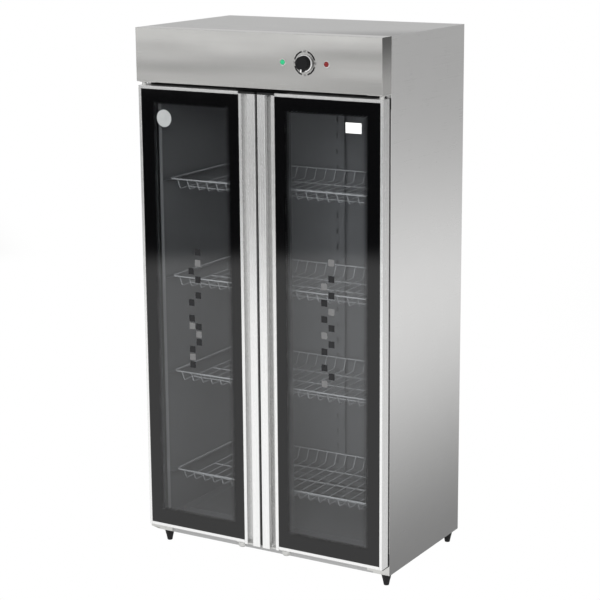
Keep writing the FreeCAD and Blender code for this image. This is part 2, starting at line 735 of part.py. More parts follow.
def door_gasket():
    """Rubber ring on the back of the door, just off the body front."""
    reach = ("door_back", "body_front - gasket_slack")
    outer = [door_x("gasket_edge"), door_x("door_width - gasket_meeting")]
    low, high = "door_bottom + gasket_edge", "door_top - gasket_edge"
    ring = block(outer, reach, (low, high))
    hole = block((f"{outer[0]} + gasket_width", f"{outer[1]} - gasket_width"),
                 ("door_front", "body_front"), (f"{low} + gasket_width", f"{high} - gasket_width"))
    return cut(ring, [hole])


def meeting_seal():
    """Rubber strip on the door's meeting edge."""
    edge = door_x("door_width")
    depth = (door_y("seal_setback"), door_y("door_thick - seal_setback"))
    return block((edge, f"{edge} + seal_thick"), depth, ("door_bottom", "door_top - cap_height"))


def end_caps():
    """Cap over the top of the handle stile and plug at the foot of the finger recess."""
    cap = block((door_x("glass_end"), door_x("door_width")), (door_y("-strip_proud"), "door_back"),
                ("door_top - cap_height", "door_top"))
    foot = "door_bottom - stile_overhang"
    mouth = "glass_end + inner_lip"
    plug = block((door_x(mouth), door_x(f"{mouth} + finger_width")),
                 (door_y("strip_proud"), door_y("finger_depth")), (foot, f"{foot} + plug_height"))
    return group([cap, plug])


def pivot_bushes():
    """Nylon blocks in both ends of the hinge stile, with a collar and a bore for the pin."""
    wall, slack = "profile_wall", "bush_slack"
    across = (door_x(f"{wall} + {slack}"), door_x(f"stile_width - {wall} - {slack}"))
    depth = (door_y(f"glass_seat + {wall} + {slack}"), f"door_back - {wall} - {slack}")
    centre = ("pivot_place", "pivot_line")
    upper_plate = "header_bottom - bracket_gauge"
    ends = [
        ("door_top - bush_height", "door_top", "door_top", f"{upper_plate} - hinge_slack",
         "door_top - pin_reach - hinge_slack", upper_plate),
        ("door_bottom", "door_bottom + bush_height", "lower_plate + hinge_slack", "door_bottom",
         "lower_plate", "door_bottom + pin_reach + hinge_slack"),
    ]
    bushes = []
    for low, high, collar_low, collar_high, bore_low, bore_high in ends:
        filler = block(across, depth, (low, high))
        collar = rod("z", "collar_radius", centre, (collar_low, collar_high))
        bore = rod("z", "pin_radius + pin_play", centre, (bore_low, bore_high))
        bushes.append(cut(fuse([filler, collar]), [bore]))
    return group(bushes)


def door_glide():
    """Round nylon glide with a tapered sole, under the free end of the door."""
    centre = ("-glide_inset", door_y("glide_depth"))
    seat = "door_bottom - stile_overhang"
    shank = rod("z", "glide_radius", centre, (f"{seat} - glide_shank", seat))
    sole = taper("z", ("glide_sole_radius", "glide_radius"), centre,
                 (f"{seat} - glide_drop", f"{seat} - glide_shank"))
    return fuse([shank, sole])


def doors():
    """The left door's pieces and their mirror images."""
    rail_top = ("door_top - stile_width", "door_top", ("door_top - lip_width", "door_top"))
    foot_lip = ("door_bottom", "door_bottom + lip_width")
    rail_foot = ("door_bottom", "door_bottom + stile_width", foot_lip)
    pieces = {
        "hinge_stile": hinge_stile(),
        "handle_stile": handle_stile(),
        "top_rail": door_rail(*rail_top),
        "bottom_rail": door_rail(*rail_foot),
        "glass": door_glass(),
        "gasket": door_gasket(),
        "meeting_seal": meeting_seal(),
        "end_caps": end_caps(),
        "pivot_bushes": pivot_bushes(),
        "glide": door_glide(),
    }
    for name, piece in pieces.items():
        keep(piece, "left_" + name)
        keep(mirrored(piece), "right_" + name)


# ---------------------------------------------------------------- hinges

def hinge_brackets():
    """Plates under the header and gusseted shelves at the foot, each bored for its pin."""
    start, length = "door_outer", "bracket_length"
    front = door_y("bracket_setback")
    bore = rod("z", "pin_radius", ("pivot_place", "pivot_line"), (0, "body_top"))
    plate = block((start, f"{start} + {length}"), (front, "body_front"),
                  ("header_bottom - bracket_gauge", "header_bottom"))
    upper = cut(plate, [bore])
    shoe = wedge((start, f"{start} + {length}"), (front, "body_front"),
                 ("lower_plate - bracket_nose", "foot_height"), "lower_plate")
    hollow = block((f"{start} + bracket_gauge", f"{start} + {length} * 2"),
                   (f"{front} + bracket_gauge", "body_front - bracket_gauge"),
                   (0, "lower_plate - bracket_gauge"))
    lower = cut(cut(shoe, [hollow]), [bore])
    keep(group(both_sides(upper)), "hinge_brackets_top")
    keep(group(both_sides(lower)), "hinge_brackets_bottom")


def hinge_pins():
    """Steel pins held in the brackets."""
    centre = ("pivot_place", "pivot_line")
    upper = rod("z", "pin_radius", centre, ("door_top - pin_reach", "header_bottom"))
    lower = rod("z", "pin_radius", centre, ("lower_plate - bracket_gauge", "door_bottom + pin_reach"))
    keep(group(both_sides(upper) + both_sides(lower)), "hinge_pins")


def hinge_spacers():
    """Black plates on the side flanges beside each hinge."""
    across = ("door_outer", "door_outer + spacer_width")
    depth = ("body_front - spacer_thick", "body_front")
    upper = block(across, depth, ("door_top - spacer_height", "door_top"))
    lower = block(across, depth, ("door_bottom", "door_bottom + spacer_height"))
    keep(group(both_sides(upper) + both_sides(lower)), "hinge_spacers")


# ---------------------------------------------------------------- chamber fittings

def rear_post(width, middle):
    """Slotted channel that stands on the chamber floor against the back of the liner."""
    gauge, depth = "post_gauge", "post_depth"
    body = doc.addObject("PartDesign::Body", "post")
    section = new_sketch(body)
    outline(section, [(0, 0), (width, 0), (width, depth), (f"{width} - {gauge}", depth),
                      (f"{width} - {gauge}", gauge), (gauge, gauge), (gauge, depth), (0, depth)])
    pad(body, section, "chamber_ceiling - chamber_floor")
    slots = new_sketch(body, "XZ_Plane")
    rectangle(slots, (f"({width} - slot_width) / 2", f"({width} + slot_width) / 2"),
              ("slot_start", "slot_start + slot_height"))
    slot = pocket(body, slots, f"{gauge} * 2")
    repeat(body, slot, "Z_Axis", "slot_count", "slot_pitch")
    return place(body, f"{middle} - {width} / 2", "chamber_back - post_depth", "chamber_floor")


def rear_posts():
    """Corner posts and a wider one in the middle."""
    corner = rear_post("post_width", "post_width / 2 - chamber_half")
    centre = rear_post("center_post_width", "0")
    keep(group(both_sides(corner) + [centre]), "rear_posts")


RACKS = {
    "top_rack": "top_rack_height",
    "upper_rack": "top_rack_height - rack_pitch",
    "lower_rack": "top_rack_height - 2 * rack_pitch",
    "bottom_rack": "low_rack_height",
}


def rack_runners():
    """Angle pairs that carry the side wires of each rack."""
    runners = []
    for level in RACKS.values():
        shelf = f"foot_height + {level} - rim_radius - seat_gap"
        depth = ("chamber_front + runner_setback", "chamber_back - post_depth")
        flat = block(("-chamber_half", "runner_shelf - chamber_half"), depth,
                     (f"{shelf} - runner_gauge", shelf))
        leg = block(("-chamber_half", "runner_gauge - chamber_half"), depth,
                    (f"{shelf} - runner_height", shelf))
        runners += both_sides(fuse([flat, leg]))
    keep(group(runners), "rack_runners")


def cross_wires():
    """Row of wires that dip below the rim to hold plates on edge."""
    body = doc.addObject("PartDesign::Body", "cross_wires")
    body.AllowCompound = True
    run, lead = "wire_slope", "wire_lead"
    path = new_sketch(body, "YZ_Plane")
    outline(path, [(0, "wire_dip"), (lead, "wire_dip"), (f"{lead} + {run}", 0),
                   (f"rack_depth - {lead} - {run}", 0), (f"rack_depth - {lead}", "wire_dip"),
                   ("rack_depth", "wire_dip")], closed=False)
    section = new_sketch(body, "XZ_Plane")
    circle(section, "wire_radius", (0, "wire_dip"))
    wire = body.newObject("PartDesign::AdditivePipe", "wire")
    wire.Profile = section
    wire.Spine = path
    wire.Transition = "Right corner"
    repeat(body, wire, "X_Axis", "wire_count", "wire_pitch")
    return place(body, "-(wire_count - 1) * wire_pitch / 2", "rack_front", "-wire_dip")


def rack_rim():
    """Rim wire: four straights joined by quarter bends."""
    side, bend = "rack_half - rim_radius", "rim_corner"
    front, back = "rack_front", "rack_front + rack_depth"
    inner = f"({side} - {bend})"
    pieces = []
    for y in (front, back):
        pieces.append(rod("x", "rim_radius", (y, 0), (f"-{inner}", inner)))
    for sign in ("-", ""):
        span = (f"{front} + {bend}", f"{back} - {bend}")
        pieces.append(rod("y", "rim_radius", (f"{sign}({side})", 0), span))
    spots = [(inner, f"{back} - {bend}"), (f"-{inner}", f"{back} - {bend}"),
             (f"-{inner}", f"{front} + {bend}"), (inner, f"{front} + {bend}")]
    for quarter, (x, y) in enumerate(spots):
        turn = doc.addObject("Part::Torus", "bend")
        bind(turn, {"Radius1": bend, "Radius2": "rim_radius"})
        turn.Angle3 = 90
        turn.Placement = FreeCAD.Placement(FreeCAD.Vector(), FreeCAD.Rotation(90 * quarter, 0, 0))
        pieces.append(place(turn, x, y, 0))
    return pieces


def racks():
    """Four like racks: rim, cross wires and three stringers welded under them.

    Each is cut across where the wires meet the floor of the rack, so that no solid
    spans the room for the dishes.
    """
    level = "-wire_dip - wire_radius - stringer_radius + weld_sink"
    reach = "(wire_count - 1) * wire_pitch / 2 + wire_radius"
    stringers = []
    for setback in ("stringer_inset", "rack_depth / 2", "rack_depth - stringer_inset"):
        centre = (f"rack_front + {setback}", level)
        stringers.append(rod("x", "stringer_radius", centre, (f"-({reach})", reach)))
    pattern = fuse(rack_rim() + [cross_wires()] + stringers, "rack_pattern")
    pattern.Refine = False
    wide = ("-rack_half - rim_radius", "rack_half + rim_radius")
    tall = ("-wire_dip * 2", "wire_dip")
    front, back = "rack_front", "rack_front + rack_depth"
    cuts = [f"{front} - comb_depth", f"{front} + comb_depth",
            f"{back} - comb_depth", f"{back} + comb_depth"]
    parts = [common(pattern, block(wide, span, tall)) for span in zip(cuts, cuts[1:])]
    pattern = group(parts, "rack_pattern")
    for name, height in RACKS.items():
        keep(shifted(pattern, z=f"foot_height + {height}"), name)


def drip_tray():
    """Shallow pan on the chamber floor in front of the heater guard."""
    half, gauge = "(chamber_half - tray_side_gap)", "tray_gauge"
    front, back = "body_front + tray_setback", "guard_front - guard_gap"
    low = "chamber_floor + seat_gap"
    pan = block((f"-{half}", half), (front, back), (low, f"{low} + tray_height"))
    well = block((f"{gauge} - {half}", f"{half} - {gauge}"),
                 (f"{front} + {gauge}", f"{back} - {gauge}"),
                 (f"{low} + {gauge}", f"{low} + tray_height * 2"))
    keep(cut(pan, [well]), "drip_tray")


def heater():
    """Two quartz tubes in ceramic holders."""
    half = "heater_length / 2"
    line = "chamber_back - heater_stand"
    centres = [(line, f"chamber_floor + heater_height + {step} * heater_pitch")
               for step in range(HEATER_TUBES)]
    keep(group([rod("x", "heater_radius", centre, (f"-{half}", half)) for centre in centres]),
         "heater_tubes")
    middle = "chamber_floor + heater_height + heater_pitch / 2"
    holder = block((f"-{half}", f"holder_width - {half}"),
                   (f"{line} - holder_width / 2", "chamber_back"),
                   (f"{middle} - holder_height / 2", f"{middle} + holder_height / 2"))
    through = (f"-{half} - holder_width", f"holder_width * 2 - {half}")
    sockets = [rod("x", "heater_radius", centre, through) for centre in centres]
    keep(group(both_sides(cut(holder, [group(sockets)]))), "heater_holders")


def heater_guard():
    """Folded cover over the heater with rows of slots in its face."""
    body = doc.addObject("PartDesign::Body", "guard")
    face = new_sketch(body, "XZ_Plane")
    rectangle(face, (0, "guard_length"), (0, "guard_height"))
    pad(body, face, "guard_gauge", reverse=True)
    margin = "(guard_length - guard_slot_length - (guard_slot_count - 1) * guard_slot_pitch) / 2"
    across = (margin, f"{margin} + guard_slot_length")
    for row in range(GUARD_ROWS):
        slots = new_sketch(body, "XZ_Plane")
        low = f"guard_row_start + {row} * guard_row_pitch"
        rectangle(slots, across, (low, f"{low} + guard_slot_height"))
        slot = pocket(body, slots, "guard_gauge * 2")
        repeat(body, slot, "X_Axis", "guard_slot_count", "guard_slot_pitch")
    place(body, "-guard_length / 2", "guard_front", "chamber_floor")
    top = "chamber_floor + guard_height"
    lid = block(("-guard_length / 2", "guard_length / 2"),
                ("guard_front", "chamber_back - post_depth"), (f"{top} - guard_gauge", top))
    keep(fuse([body, lid]), "heater_guard")


# ---------------------------------------------------------------- controls

def lamp_centre(side):
    """X and Z of the lamp on one side of the knob, given as a sign."""
    return (f"knob_offset {side} lamp_spread", "control_height")


def timer():
    """Knob with its bright ring and shaft, and the clockwork behind the header."""
    centre = ("knob_offset", "control_height")
    front = "header_front - knob_stand"
    ring_back = "header_front - knob_gap"
    ring_front = f"{ring_back} - ring_thick"
    grip = taper("y", ("knob_radius - knob_taper", "knob_radius"), centre, (front, ring_front))
    pointer = block(("knob_offset - shaft_radius / 2", "knob_offset + shaft_radius / 2"),
                    (front, ring_front),
                    ("control_height - ring_radius", "control_height - knob_radius / 2"))
    bore = rod("y", "shaft_radius", centre, (f"{front} + ring_thick", "header_front"))
    keep(cut(fuse([grip, pointer]), [bore]), "timer_knob")
    ring = rod("y", "ring_radius", centre, (ring_front, ring_back))
    keep(cut(ring, [bore]), "knob_ring")
    inside = "header_front + header_gauge"
    shaft_end = f"{inside} + timer_depth / 2"
    keep(rod("y", "shaft_radius", centre, (f"{front} + ring_thick", shaft_end)), "timer_shaft")
    case = block(("knob_offset - timer_width / 2", "knob_offset + timer_width / 2"),
                 (inside, f"{inside} + timer_depth"),
                 ("control_height - timer_width / 2", "control_height + timer_width / 2"))
    neck = rod("y", "timer_hole", centre, ("header_front", inside))
    way = rod("y", "shaft_radius + shaft_play", centre,
              ("header_front - header_gauge", f"{shaft_end} + seat_gap"))
    keep(cut(fuse([case, neck]), [way]), "timer_body")


def lamps():
    """Two pilot lamps: chrome bezel, coloured lens and holder."""
    bezels, holders = [], []
    for side, colour in (("-", "green"), ("+", "red")):
        centre = lamp_centre(side)
        inside = "header_front + header_gauge"
        face = rod("y", "bezel_radius", centre, ("header_front - bezel_thick", "header_front"))
        socket = rod("y", "lens_radius", centre, ("header_front - bezel_thick * 2", "header_front"))
        bezels.append(cut(face, [socket]))
        dome = taper("y", ("lens_face_radius", "lens_radius"), centre,
                     ("header_front - lens_stand", "header_front - bezel_thick"))
        base = rod("y", "lens_radius", centre, ("header_front - bezel_thick", "header_front"))
        keep(fuse([dome, base]), colour + "_lens")
        stem = rod("y", "lamp_hole", centre, ("header_front", inside))
        barrel = rod("y", "bezel_radius", centre, (inside, f"{inside} + lamp_depth"))
        holders.append(fuse([stem, barrel]))
    keep(group(bezels), "lamp_bezels")
    keep(group(holders), "lamp_holders")


def terminal_block():
    """Supply terminals on top of the liner's ceiling."""
    base = "chamber_ceiling + skin_gauge"
    across = ("half_width - grommet_drop - terminal_width / 2",
              "half_width - grommet_drop + terminal_width / 2")
    depth = ("chamber_back - terminal_depth", "chamber_back")
    keep(block(across, depth, (base, f"{base} + terminal_height")), "terminal_block")


# ---------------------------------------------------------------- build and write

def check(things):
    """Stop if any object failed or any sub-part has no valid solid."""
    failed = [thing.Name for thing in doc.Objects
              if {"Invalid", "Error"} & set(thing.State)]
    bad = [thing.Label for thing in things
           if thing.Shape.isNull() or not thing.Shape.isValid() or not thing.Shape.Solids]
    if failed or bad:
        raise RuntimeError(f"failed objects {failed}, bad shapes {bad}")


def main():
    fill_sheet()
    for section in (side_panels, top_panel, base_panel, back_panel, front_frame, liner, insulation,
                    header_panel, feet, back_screws, cable_grommet, doors, hinge_brackets, hinge_pins,
                    hinge_spacers, rear_posts, rack_runners, racks, drip_tray, heater, heater_guard,
                    timer, lamps, terminal_block):
        section()
    doc.recompute()
    check(handed_in)
    os.makedirs(OUT_FOLDER, exist_ok=True)
    for thing in handed_in:
        thing.Shape.exportStep(f"{OUT_FOLDER}/{thing.Label}.step")
        print(thing.Label, len(thing.Shape.Solids), round(thing.Shape.Volume))


main()
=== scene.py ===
"""Dish sterilizer cabinet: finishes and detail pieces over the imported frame, and the studio."""
import math
from collections import namedtuple

import bmesh
import bpy
from mathutils import Matrix, Vector


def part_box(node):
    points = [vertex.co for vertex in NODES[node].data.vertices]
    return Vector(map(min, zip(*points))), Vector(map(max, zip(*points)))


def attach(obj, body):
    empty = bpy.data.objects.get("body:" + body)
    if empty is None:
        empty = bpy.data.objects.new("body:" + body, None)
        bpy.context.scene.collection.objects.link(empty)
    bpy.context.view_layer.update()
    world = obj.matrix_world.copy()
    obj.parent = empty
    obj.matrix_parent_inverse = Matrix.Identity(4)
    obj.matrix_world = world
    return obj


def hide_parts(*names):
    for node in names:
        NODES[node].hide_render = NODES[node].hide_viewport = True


bl_info = {
    "name": "Dish Sterilizer Cabinet",
    "version": (1, 0, 0),
    "blender": (4, 5, 0),
    "location": "3D Viewport > Sidebar > Cabinet",
    "description": "Dresses the cabinet's frame with metals, glass, racks, seals and controls",
    "category": "Object",
}

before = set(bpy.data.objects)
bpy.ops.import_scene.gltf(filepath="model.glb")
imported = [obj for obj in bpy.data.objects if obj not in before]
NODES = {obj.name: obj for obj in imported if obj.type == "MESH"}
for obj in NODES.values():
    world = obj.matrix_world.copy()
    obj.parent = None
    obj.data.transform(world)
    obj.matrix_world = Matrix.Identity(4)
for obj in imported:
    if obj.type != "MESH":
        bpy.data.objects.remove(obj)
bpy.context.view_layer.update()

MM = 0.001
SENSOR_MM = 36.0
SIDES = ("left", "right")
RACKS = ("top_rack", "upper_rack", "lower_rack", "bottom_rack")

# ------------------------------------------------------------------ places read from the frame

PANE_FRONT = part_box("left_glass")[0].y
HEADER_LOW, HEADER_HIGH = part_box("header_panel")
KNOB_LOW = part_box("timer_knob")[0]
RING_LOW, RING_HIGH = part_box("knob_ring")
KNOB_X = (RING_LOW.x + RING_HIGH.x) / 2
CONTROL_Z = (RING_LOW.z + RING_HIGH.z) / 2
HEADER_FACE = HEADER_LOW.y


def sign_of(side):
    """-1 for the left half of the cabinet and 1 for the right."""
    return -1 if side == "left" else 1


# ------------------------------------------------------------------ shader maths

class Signal:
    """A socket of one material that plain Python arithmetic can be done on."""

    def __init__(self, finish, socket):
        self.finish = finish
        self.socket = socket

    def maths(self, operation, *others):
        values = dict(enumerate((self, *others)))
        return self.finish.node("ShaderNodeMath", {"operation": operation}, values)

    def __add__(self, other):
        return self.maths("ADD", other)

    __radd__ = __add__

    def __sub__(self, other):
        return self.maths("SUBTRACT", other)

    def __rsub__(self, other):
        return self.finish.node("ShaderNodeMath", {"operation": "SUBTRACT"}, {0: other, 1: self})

    def __mul__(self, other):
        return self.maths("MULTIPLY", other)

    __rmul__ = __mul__

    def __truediv__(self, other):
        return self.maths("DIVIDE", other)

    def __lt__(self, other):
        return self.maths("LESS_THAN", other)

    def __gt__(self, other):
        return self.maths("GREATER_THAN", other)

    def __abs__(self):
        return self.maths("ABSOLUTE")

    def whole(self):
        return self.maths("FLOOR")

    def part(self):
        return self.maths("FRACT")

    def root(self):
        return self.maths("SQRT")

    def lowest(self, other):
        return self.maths("MINIMUM", other)

    def highest(self, other):
        return self.maths("MAXIMUM", other)


class Finish:
    """A material, or the surroundings, and the nodes that make it."""

    def __init__(self, name, kind="Material"):
        library = bpy.data.worlds if kind == "World" else bpy.data.materials
        self.owner = library.new(name)
        self.owner.use_nodes = True
        self.tree = self.owner.node_tree
        self.tree.nodes.clear()
        self.output = self.tree.nodes.new("ShaderNodeOutput" + kind)

    def node(self, kind, settings=None, values=None, output=0):
        """Add a node with its settings, then the values or links of its sockets."""
        made = self.tree.nodes.new(kind)
        for name, value in (settings or {}).items():
            if name == "stops":
                fill_ramp(made.color_ramp, value)
            else:
                setattr(made, name, value)
        for key, value in (values or {}).items():
            if isinstance(value, Signal):
                self.tree.links.new(value.socket, made.inputs[key])
            else:
                made.inputs[key].default_value = value
        return Signal(self, made.outputs[output])

    def place(self, stretch=(1, 1, 1)):
        """Object coordinates, stretched."""
        here = self.node("ShaderNodeTexCoord", output="Object")
        return self.node("ShaderNodeMapping", {}, {"Vector": here, "Scale": stretch})

    def axes(self, kind="Object"):
        """X, Y and Z of the place on the piece, or of its normal."""
        here = self.node("ShaderNodeTexCoord", output=kind)
        apart = self.node("ShaderNodeSeparateXYZ", {}, {0: here}).socket.node
        return [Signal(self, socket) for socket in apart.outputs]

    def noise(self, where, scale, detail=2.0):
        """Soft noise from 0 to 1."""
        values = {"Vector": where, "Scale": scale, "Detail": detail}
        return self.node("ShaderNodeTexNoise", {}, values, "Fac")

    def between(self, share, low, high):
        """Colour between two, each a signal or three numbers, by a share."""
        low, high = (end if isinstance(end, Signal) else (*end, 1) for end in (low, high))
        return self.node("ShaderNodeMix", {"data_type": "RGBA"}, {0: share, 6: low, 7: high}, 2)

    def bump(self, height, strength, distance, over=None):
        """Relief of a height, over another relief if one is given."""
        values = {"Height": height, "Strength": strength, "Distance": distance}
        if over:
            values["Normal"] = over
        return self.node("ShaderNodeBump", {}, values)

    def eased(self, value, low, high):
        """0 at low, 1 at high and smooth between."""
        values = {"Value": value, "From Min": low, "From Max": high}
        return self.node("ShaderNodeMapRange", {"interpolation_type": "SMOOTHSTEP"}, values)

    def shader(self, **values):
        """Principled shader with its sockets named in lower case."""
        named = {name.replace("_", " ").title().replace("Ior", "IOR"): value
                 for name, value in values.items()}
        return self.node("ShaderNodeBsdfPrincipled", {}, named)

    def show(self, surface):
        """Give the material or the surroundings its surface."""
        self.tree.links.new(surface.socket, self.output.inputs["Surface"])
        return self.owner


def fill_ramp(ramp, stops):
    """Give a colour ramp its two stops, as pairs of position and colour."""
    for element, (spot, value) in zip(ramp.elements, stops):
        element.position = spot
        element.color = (*value, 1)


# ------------------------------------------------------------------ finishes

FINE = 1400.0
LONG = 1.0
GRAINS = {"x": (LONG, FINE, FINE), "y": (FINE, LONG, FINE), "z": (FINE, FINE, LONG)}
GRAIN_SPAN = (0.35, 0.65)
GRAIN_RELIEF = 0.0003
TOUCH_RELIEF = 0.0002
WOOL_RELIEF = 0.002
SAG_STRETCH = (1.3, 1.3, 9.0)
UPWARDS = (0, 0, 1)
FRONT_RIGHT = (0.6, -1.0, 0.0)

# A painted shade darkens the faces that look along one axis, a painted reflection of the darker
# studio on the metal: not at all at the clear distance along its direction, and down to the tone
# at the dark one. The bars' fronts darken towards their tops and their sides all the way up, the
# header's ends towards its top, the side panels towards their feet and the top towards its front
# right corner.
Shade = namedtuple("Shade", "along facing dark clear tone")
BAR_PAINTED_SHADES = (Shade(UPWARDS, facing="y", dark=1.45, clear=0.90, tone=0.80),
              Shade(UPWARDS, facing="x", dark=-1.0, clear=-2.0, tone=0.70))
HEADER_PAINTED_SHADES = (Shade(UPWARDS, facing="x", dark=1.64, clear=1.50, tone=0.28),)
SIDE_PAINTED_SHADES = (Shade(UPWARDS, facing="x", dark=0.0, clear=0.98, tone=0.22),)
TOP_PAINTED_SHADES = (Shade(FRONT_RIGHT, facing="z", dark=0.44, clear=0.16, tone=0.5),)

WAVY_PANE = (3, 3, 1.2)
GLASS_BEND = 1.5
MIRROR_BEND = 1.6
FADE_TURN = math.radians(30)
FADE_SPREAD = (0.3, 0.7)
FADE_START = 0.5
WHITE = (1, 1, 1)


def brushed_metal(name, colour, grain, roughness=0.3, contrast=0.06, depth=0.05, metallic=1.0,
                  painted_shades=(), sag=0.0):
    """Metal with fine brush lines along one axis, faint clouds and handling marks.

    The painted shades darken parts of it as painted reflection and shade, and sag is the height
    of the long, soft waves of a thin sheet.
    """
    finish = Finish(name)
    lines = finish.noise(finish.place(GRAINS[grain]), scale=1.0, detail=3.0)
    clouds = finish.noise(finish.place(), scale=2.4)
    marks = finish.noise(finish.place(), scale=17.0, detail=4.0)
    low = [channel * (1 - contrast) for channel in colour]
    high = [min(1.0, channel * (1 + contrast)) for channel in colour]
    streaks = lines * 0.6 + clouds * 0.4
    spread = {"Value": streaks, "From Min": GRAIN_SPAN[0], "From Max": GRAIN_SPAN[1]}
    base = finish.between(finish.node("ShaderNodeMapRange", {}, spread), low, high)
    # Each painted shade scales the colour down by place and facing: painted reflection and shade.
    for shade in painted_shades:
        reach = finish.node("ShaderNodeVectorMath", {"operation": "DOT_PRODUCT"},
                            {0: finish.place(), 1: shade.along}, "Value")
        facing = abs(finish.axes("Normal")["xyz".index(shade.facing)])
        painted_darkening = finish.eased(reach, shade.clear, shade.dark) * facing
        base = finish.node("ShaderNodeVectorMath", {"operation": "SCALE"},
                           {0: base, "Scale": painted_darkening * (shade.tone - 1) + 1})
    rough = lines * 0.12 + marks * 0.06 + (roughness - 0.09)
    relief = finish.bump(lines, depth, GRAIN_RELIEF)
    if sag:
        waves = finish.noise(finish.place(SAG_STRETCH), scale=1.0, detail=1.0) * -1
        relief = finish.bump(waves, 1.0, sag, relief)
    surface = finish.shader(base_color=base, metallic=metallic, roughness=rough, normal=relief)
    return finish.show(surface)


def polished_metal(name, colour, roughness=0.12, metallic=1.0):
    """Bright plated metal with a slightly uneven shine."""
    finish = Finish(name)
    marks = finish.noise(finish.place(), scale=60.0, detail=3.0)
    rough = marks * 0.1 + (roughness - 0.05)
    low = [channel * 0.92 for channel in colour]
    surface = finish.shader(base_color=finish.between(marks, low, colour), metallic=metallic,
                            roughness=rough)
    return finish.show(surface)


def moulded(name, colour, roughness=0.45, grain=900.0, depth=0.15, coat=0.0, shine=0.5, lower=None):
    """Moulded plastic, ceramic or rubber with a fine tool texture and faint mottling.

    lower, if given, is the colour of what lies below half the cabinet's height.
    """
    finish = Finish(name)
    texture = finish.noise(finish.place(), scale=grain)
    mottle = finish.noise(finish.place(), scale=35.0, detail=3.0)
    low = [channel * 0.85 for channel in colour]
    high = [min(1.0, channel * 1.12) for channel in colour]
    base = finish.between(mottle, low, high)
    if lower:
        base = finish.between(finish.axes()[2] > HEADER_HIGH.z / 2, lower, base)
    surface = finish.shader(base_color=base, roughness=mottle * 0.12 + (roughness - 0.06),
                            coat_weight=coat, specular_ior_level=shine,
                            normal=finish.bump(texture, depth, TOUCH_RELIEF))
    return finish.show(surface)


def glass_wool(name, colour):
    """Matted fibres of the insulation slabs."""
    finish = Finish(name)
    fibres = finish.noise(finish.place((40, 220, 220)), scale=6.0, detail=6.0)
    dark = [channel * 0.7 for channel in colour]
    surface = finish.shader(base_color=finish.between(fibres, dark, colour), roughness=0.95,
                            normal=finish.bump(fibres, 0.6, WOOL_RELIEF))
    return finish.show(surface)


def lit_lens(name, colour):
    """Moulded lamp lens with a soft inner glow."""
    finish = Finish(name)
    swirl = finish.noise(finish.place(), scale=260.0)
    dark = [channel * 0.6 for channel in colour]
    glow = finish.between(swirl, dark, colour)
    surface = finish.shader(base_color=glow, roughness=0.12, coat_weight=0.2,
                            emission_color=glow, emission_strength=0.06)
    return finish.show(surface)


def clear_tube(name):
    """Quartz tube: mostly clear, with a gloss at grazing angles."""
    finish = Finish(name)
    haze = finish.noise(finish.place(), scale=30.0)
    through = finish.node("ShaderNodeBsdfTransparent", {}, {"Color": (0.93, 0.94, 0.93, 1)})
    body = finish.shader(base_color=(0.8, 0.81, 0.8, 1), roughness=0.06)
    edge = finish.node("ShaderNodeLayerWeight", {}, {"Blend": 0.35}, "Facing")
    share = edge * 0.55 + haze * 0.12
    return finish.show(finish.node("ShaderNodeMixShader", {}, {0: share, 1: through, 2: body}))


def door_glass(name, look):
    """Smoked pane whose back is printed black around the window, with a dotted fade."""
    finish = Finish(name)
    x, _, z = finish.axes()
    inside, outside = look.window_inner, look.window_outer
    across = (abs(abs(x) - (inside + outside) / 2) * -1) + (outside - inside) / 2
    middle = (look.window_low + look.window_high) / 2
    upright = (abs(z - middle) * -1) + (look.window_high - look.window_low) / 2
    reach = across.lowest(upright)
    column = (abs(x) - inside) / look.dot_pitch
    stagger = (column.whole() * 0.5).part()
    right = column.part() - 0.5
    up = (z / look.dot_pitch + stagger).part() - 0.5
    spot = (right * right + up * up).root()
    dots = spot < ((reach / look.dot_fade) * -1 + 1) * look.dot_share
    printed = (reach < 0).highest(dots * (across < upright).highest(reach < look.dot_pitch))
    smear = finish.noise(finish.place(WAVY_PANE), scale=4.0, detail=3.0)
    body = finish.shader(base_color=(*look.frit_colour, 1), roughness=smear * 0.05 + 0.03,
                         ior=GLASS_BEND)
    through = finish.node("ShaderNodeBsdfTransparent", {}, {"Color": (*look.smoke, 1)})
    share = printed.highest(look.haze)
    pane = finish.node("ShaderNodeMixShader", {}, {0: share, 1: through, 2: body})
    gloss = finish.node("ShaderNodeBsdfGlossy", {}, {"Color": (*WHITE, 1), "Roughness": 0.03})
    leaving = finish.node("ShaderNodeNewGeometry", output="Backfacing")
    mirror = finish.node("ShaderNodeFresnel", {}, {"IOR": MIRROR_BEND})
    mirror = mirror * (1 - printed) * (1 - leaving)
    return finish.show(finish.node("ShaderNodeMixShader", {}, {0: mirror, 1: pane, 2: gloss}))


def studio_floor(name, studio):
    """Pale floor that shines evenly for what looks at it and darkens far off to either side."""
    finish = Finish(name)
    x, y, _ = finish.axes()
    far = (x * x + y * y).root()
    aside = (x * math.cos(FADE_TURN) + y * math.sin(FADE_TURN)) / far.highest(FADE_START)
    ring = finish.eased(far, *studio.left_fade) - finish.eased(far, *studio.left_clear)
    left = finish.eased(aside * -1, *FADE_SPREAD) * ring
    right = finish.eased(aside, *FADE_SPREAD) * finish.eased(far, *studio.right_fade)
    lit = finish.between(left, finish.between(right, WHITE, studio.far_right), studio.far_left)
    glow = finish.node("ShaderNodeEmission", {}, {"Color": lit, "Strength": 1.0})
    matt = finish.shader(base_color=(*studio.floor, 1), roughness=0.9)
    seen = [finish.node("ShaderNodeLightPath", output=f"Is {kind} Ray")
            for kind in ("Camera", "Glossy", "Transmission")]
    looked_at = (seen[0] + seen[1] + seen[2]).lowest(1.0)
    return finish.show(finish.node("ShaderNodeMixShader", {}, {0: looked_at, 1: matt, 2: glow}))


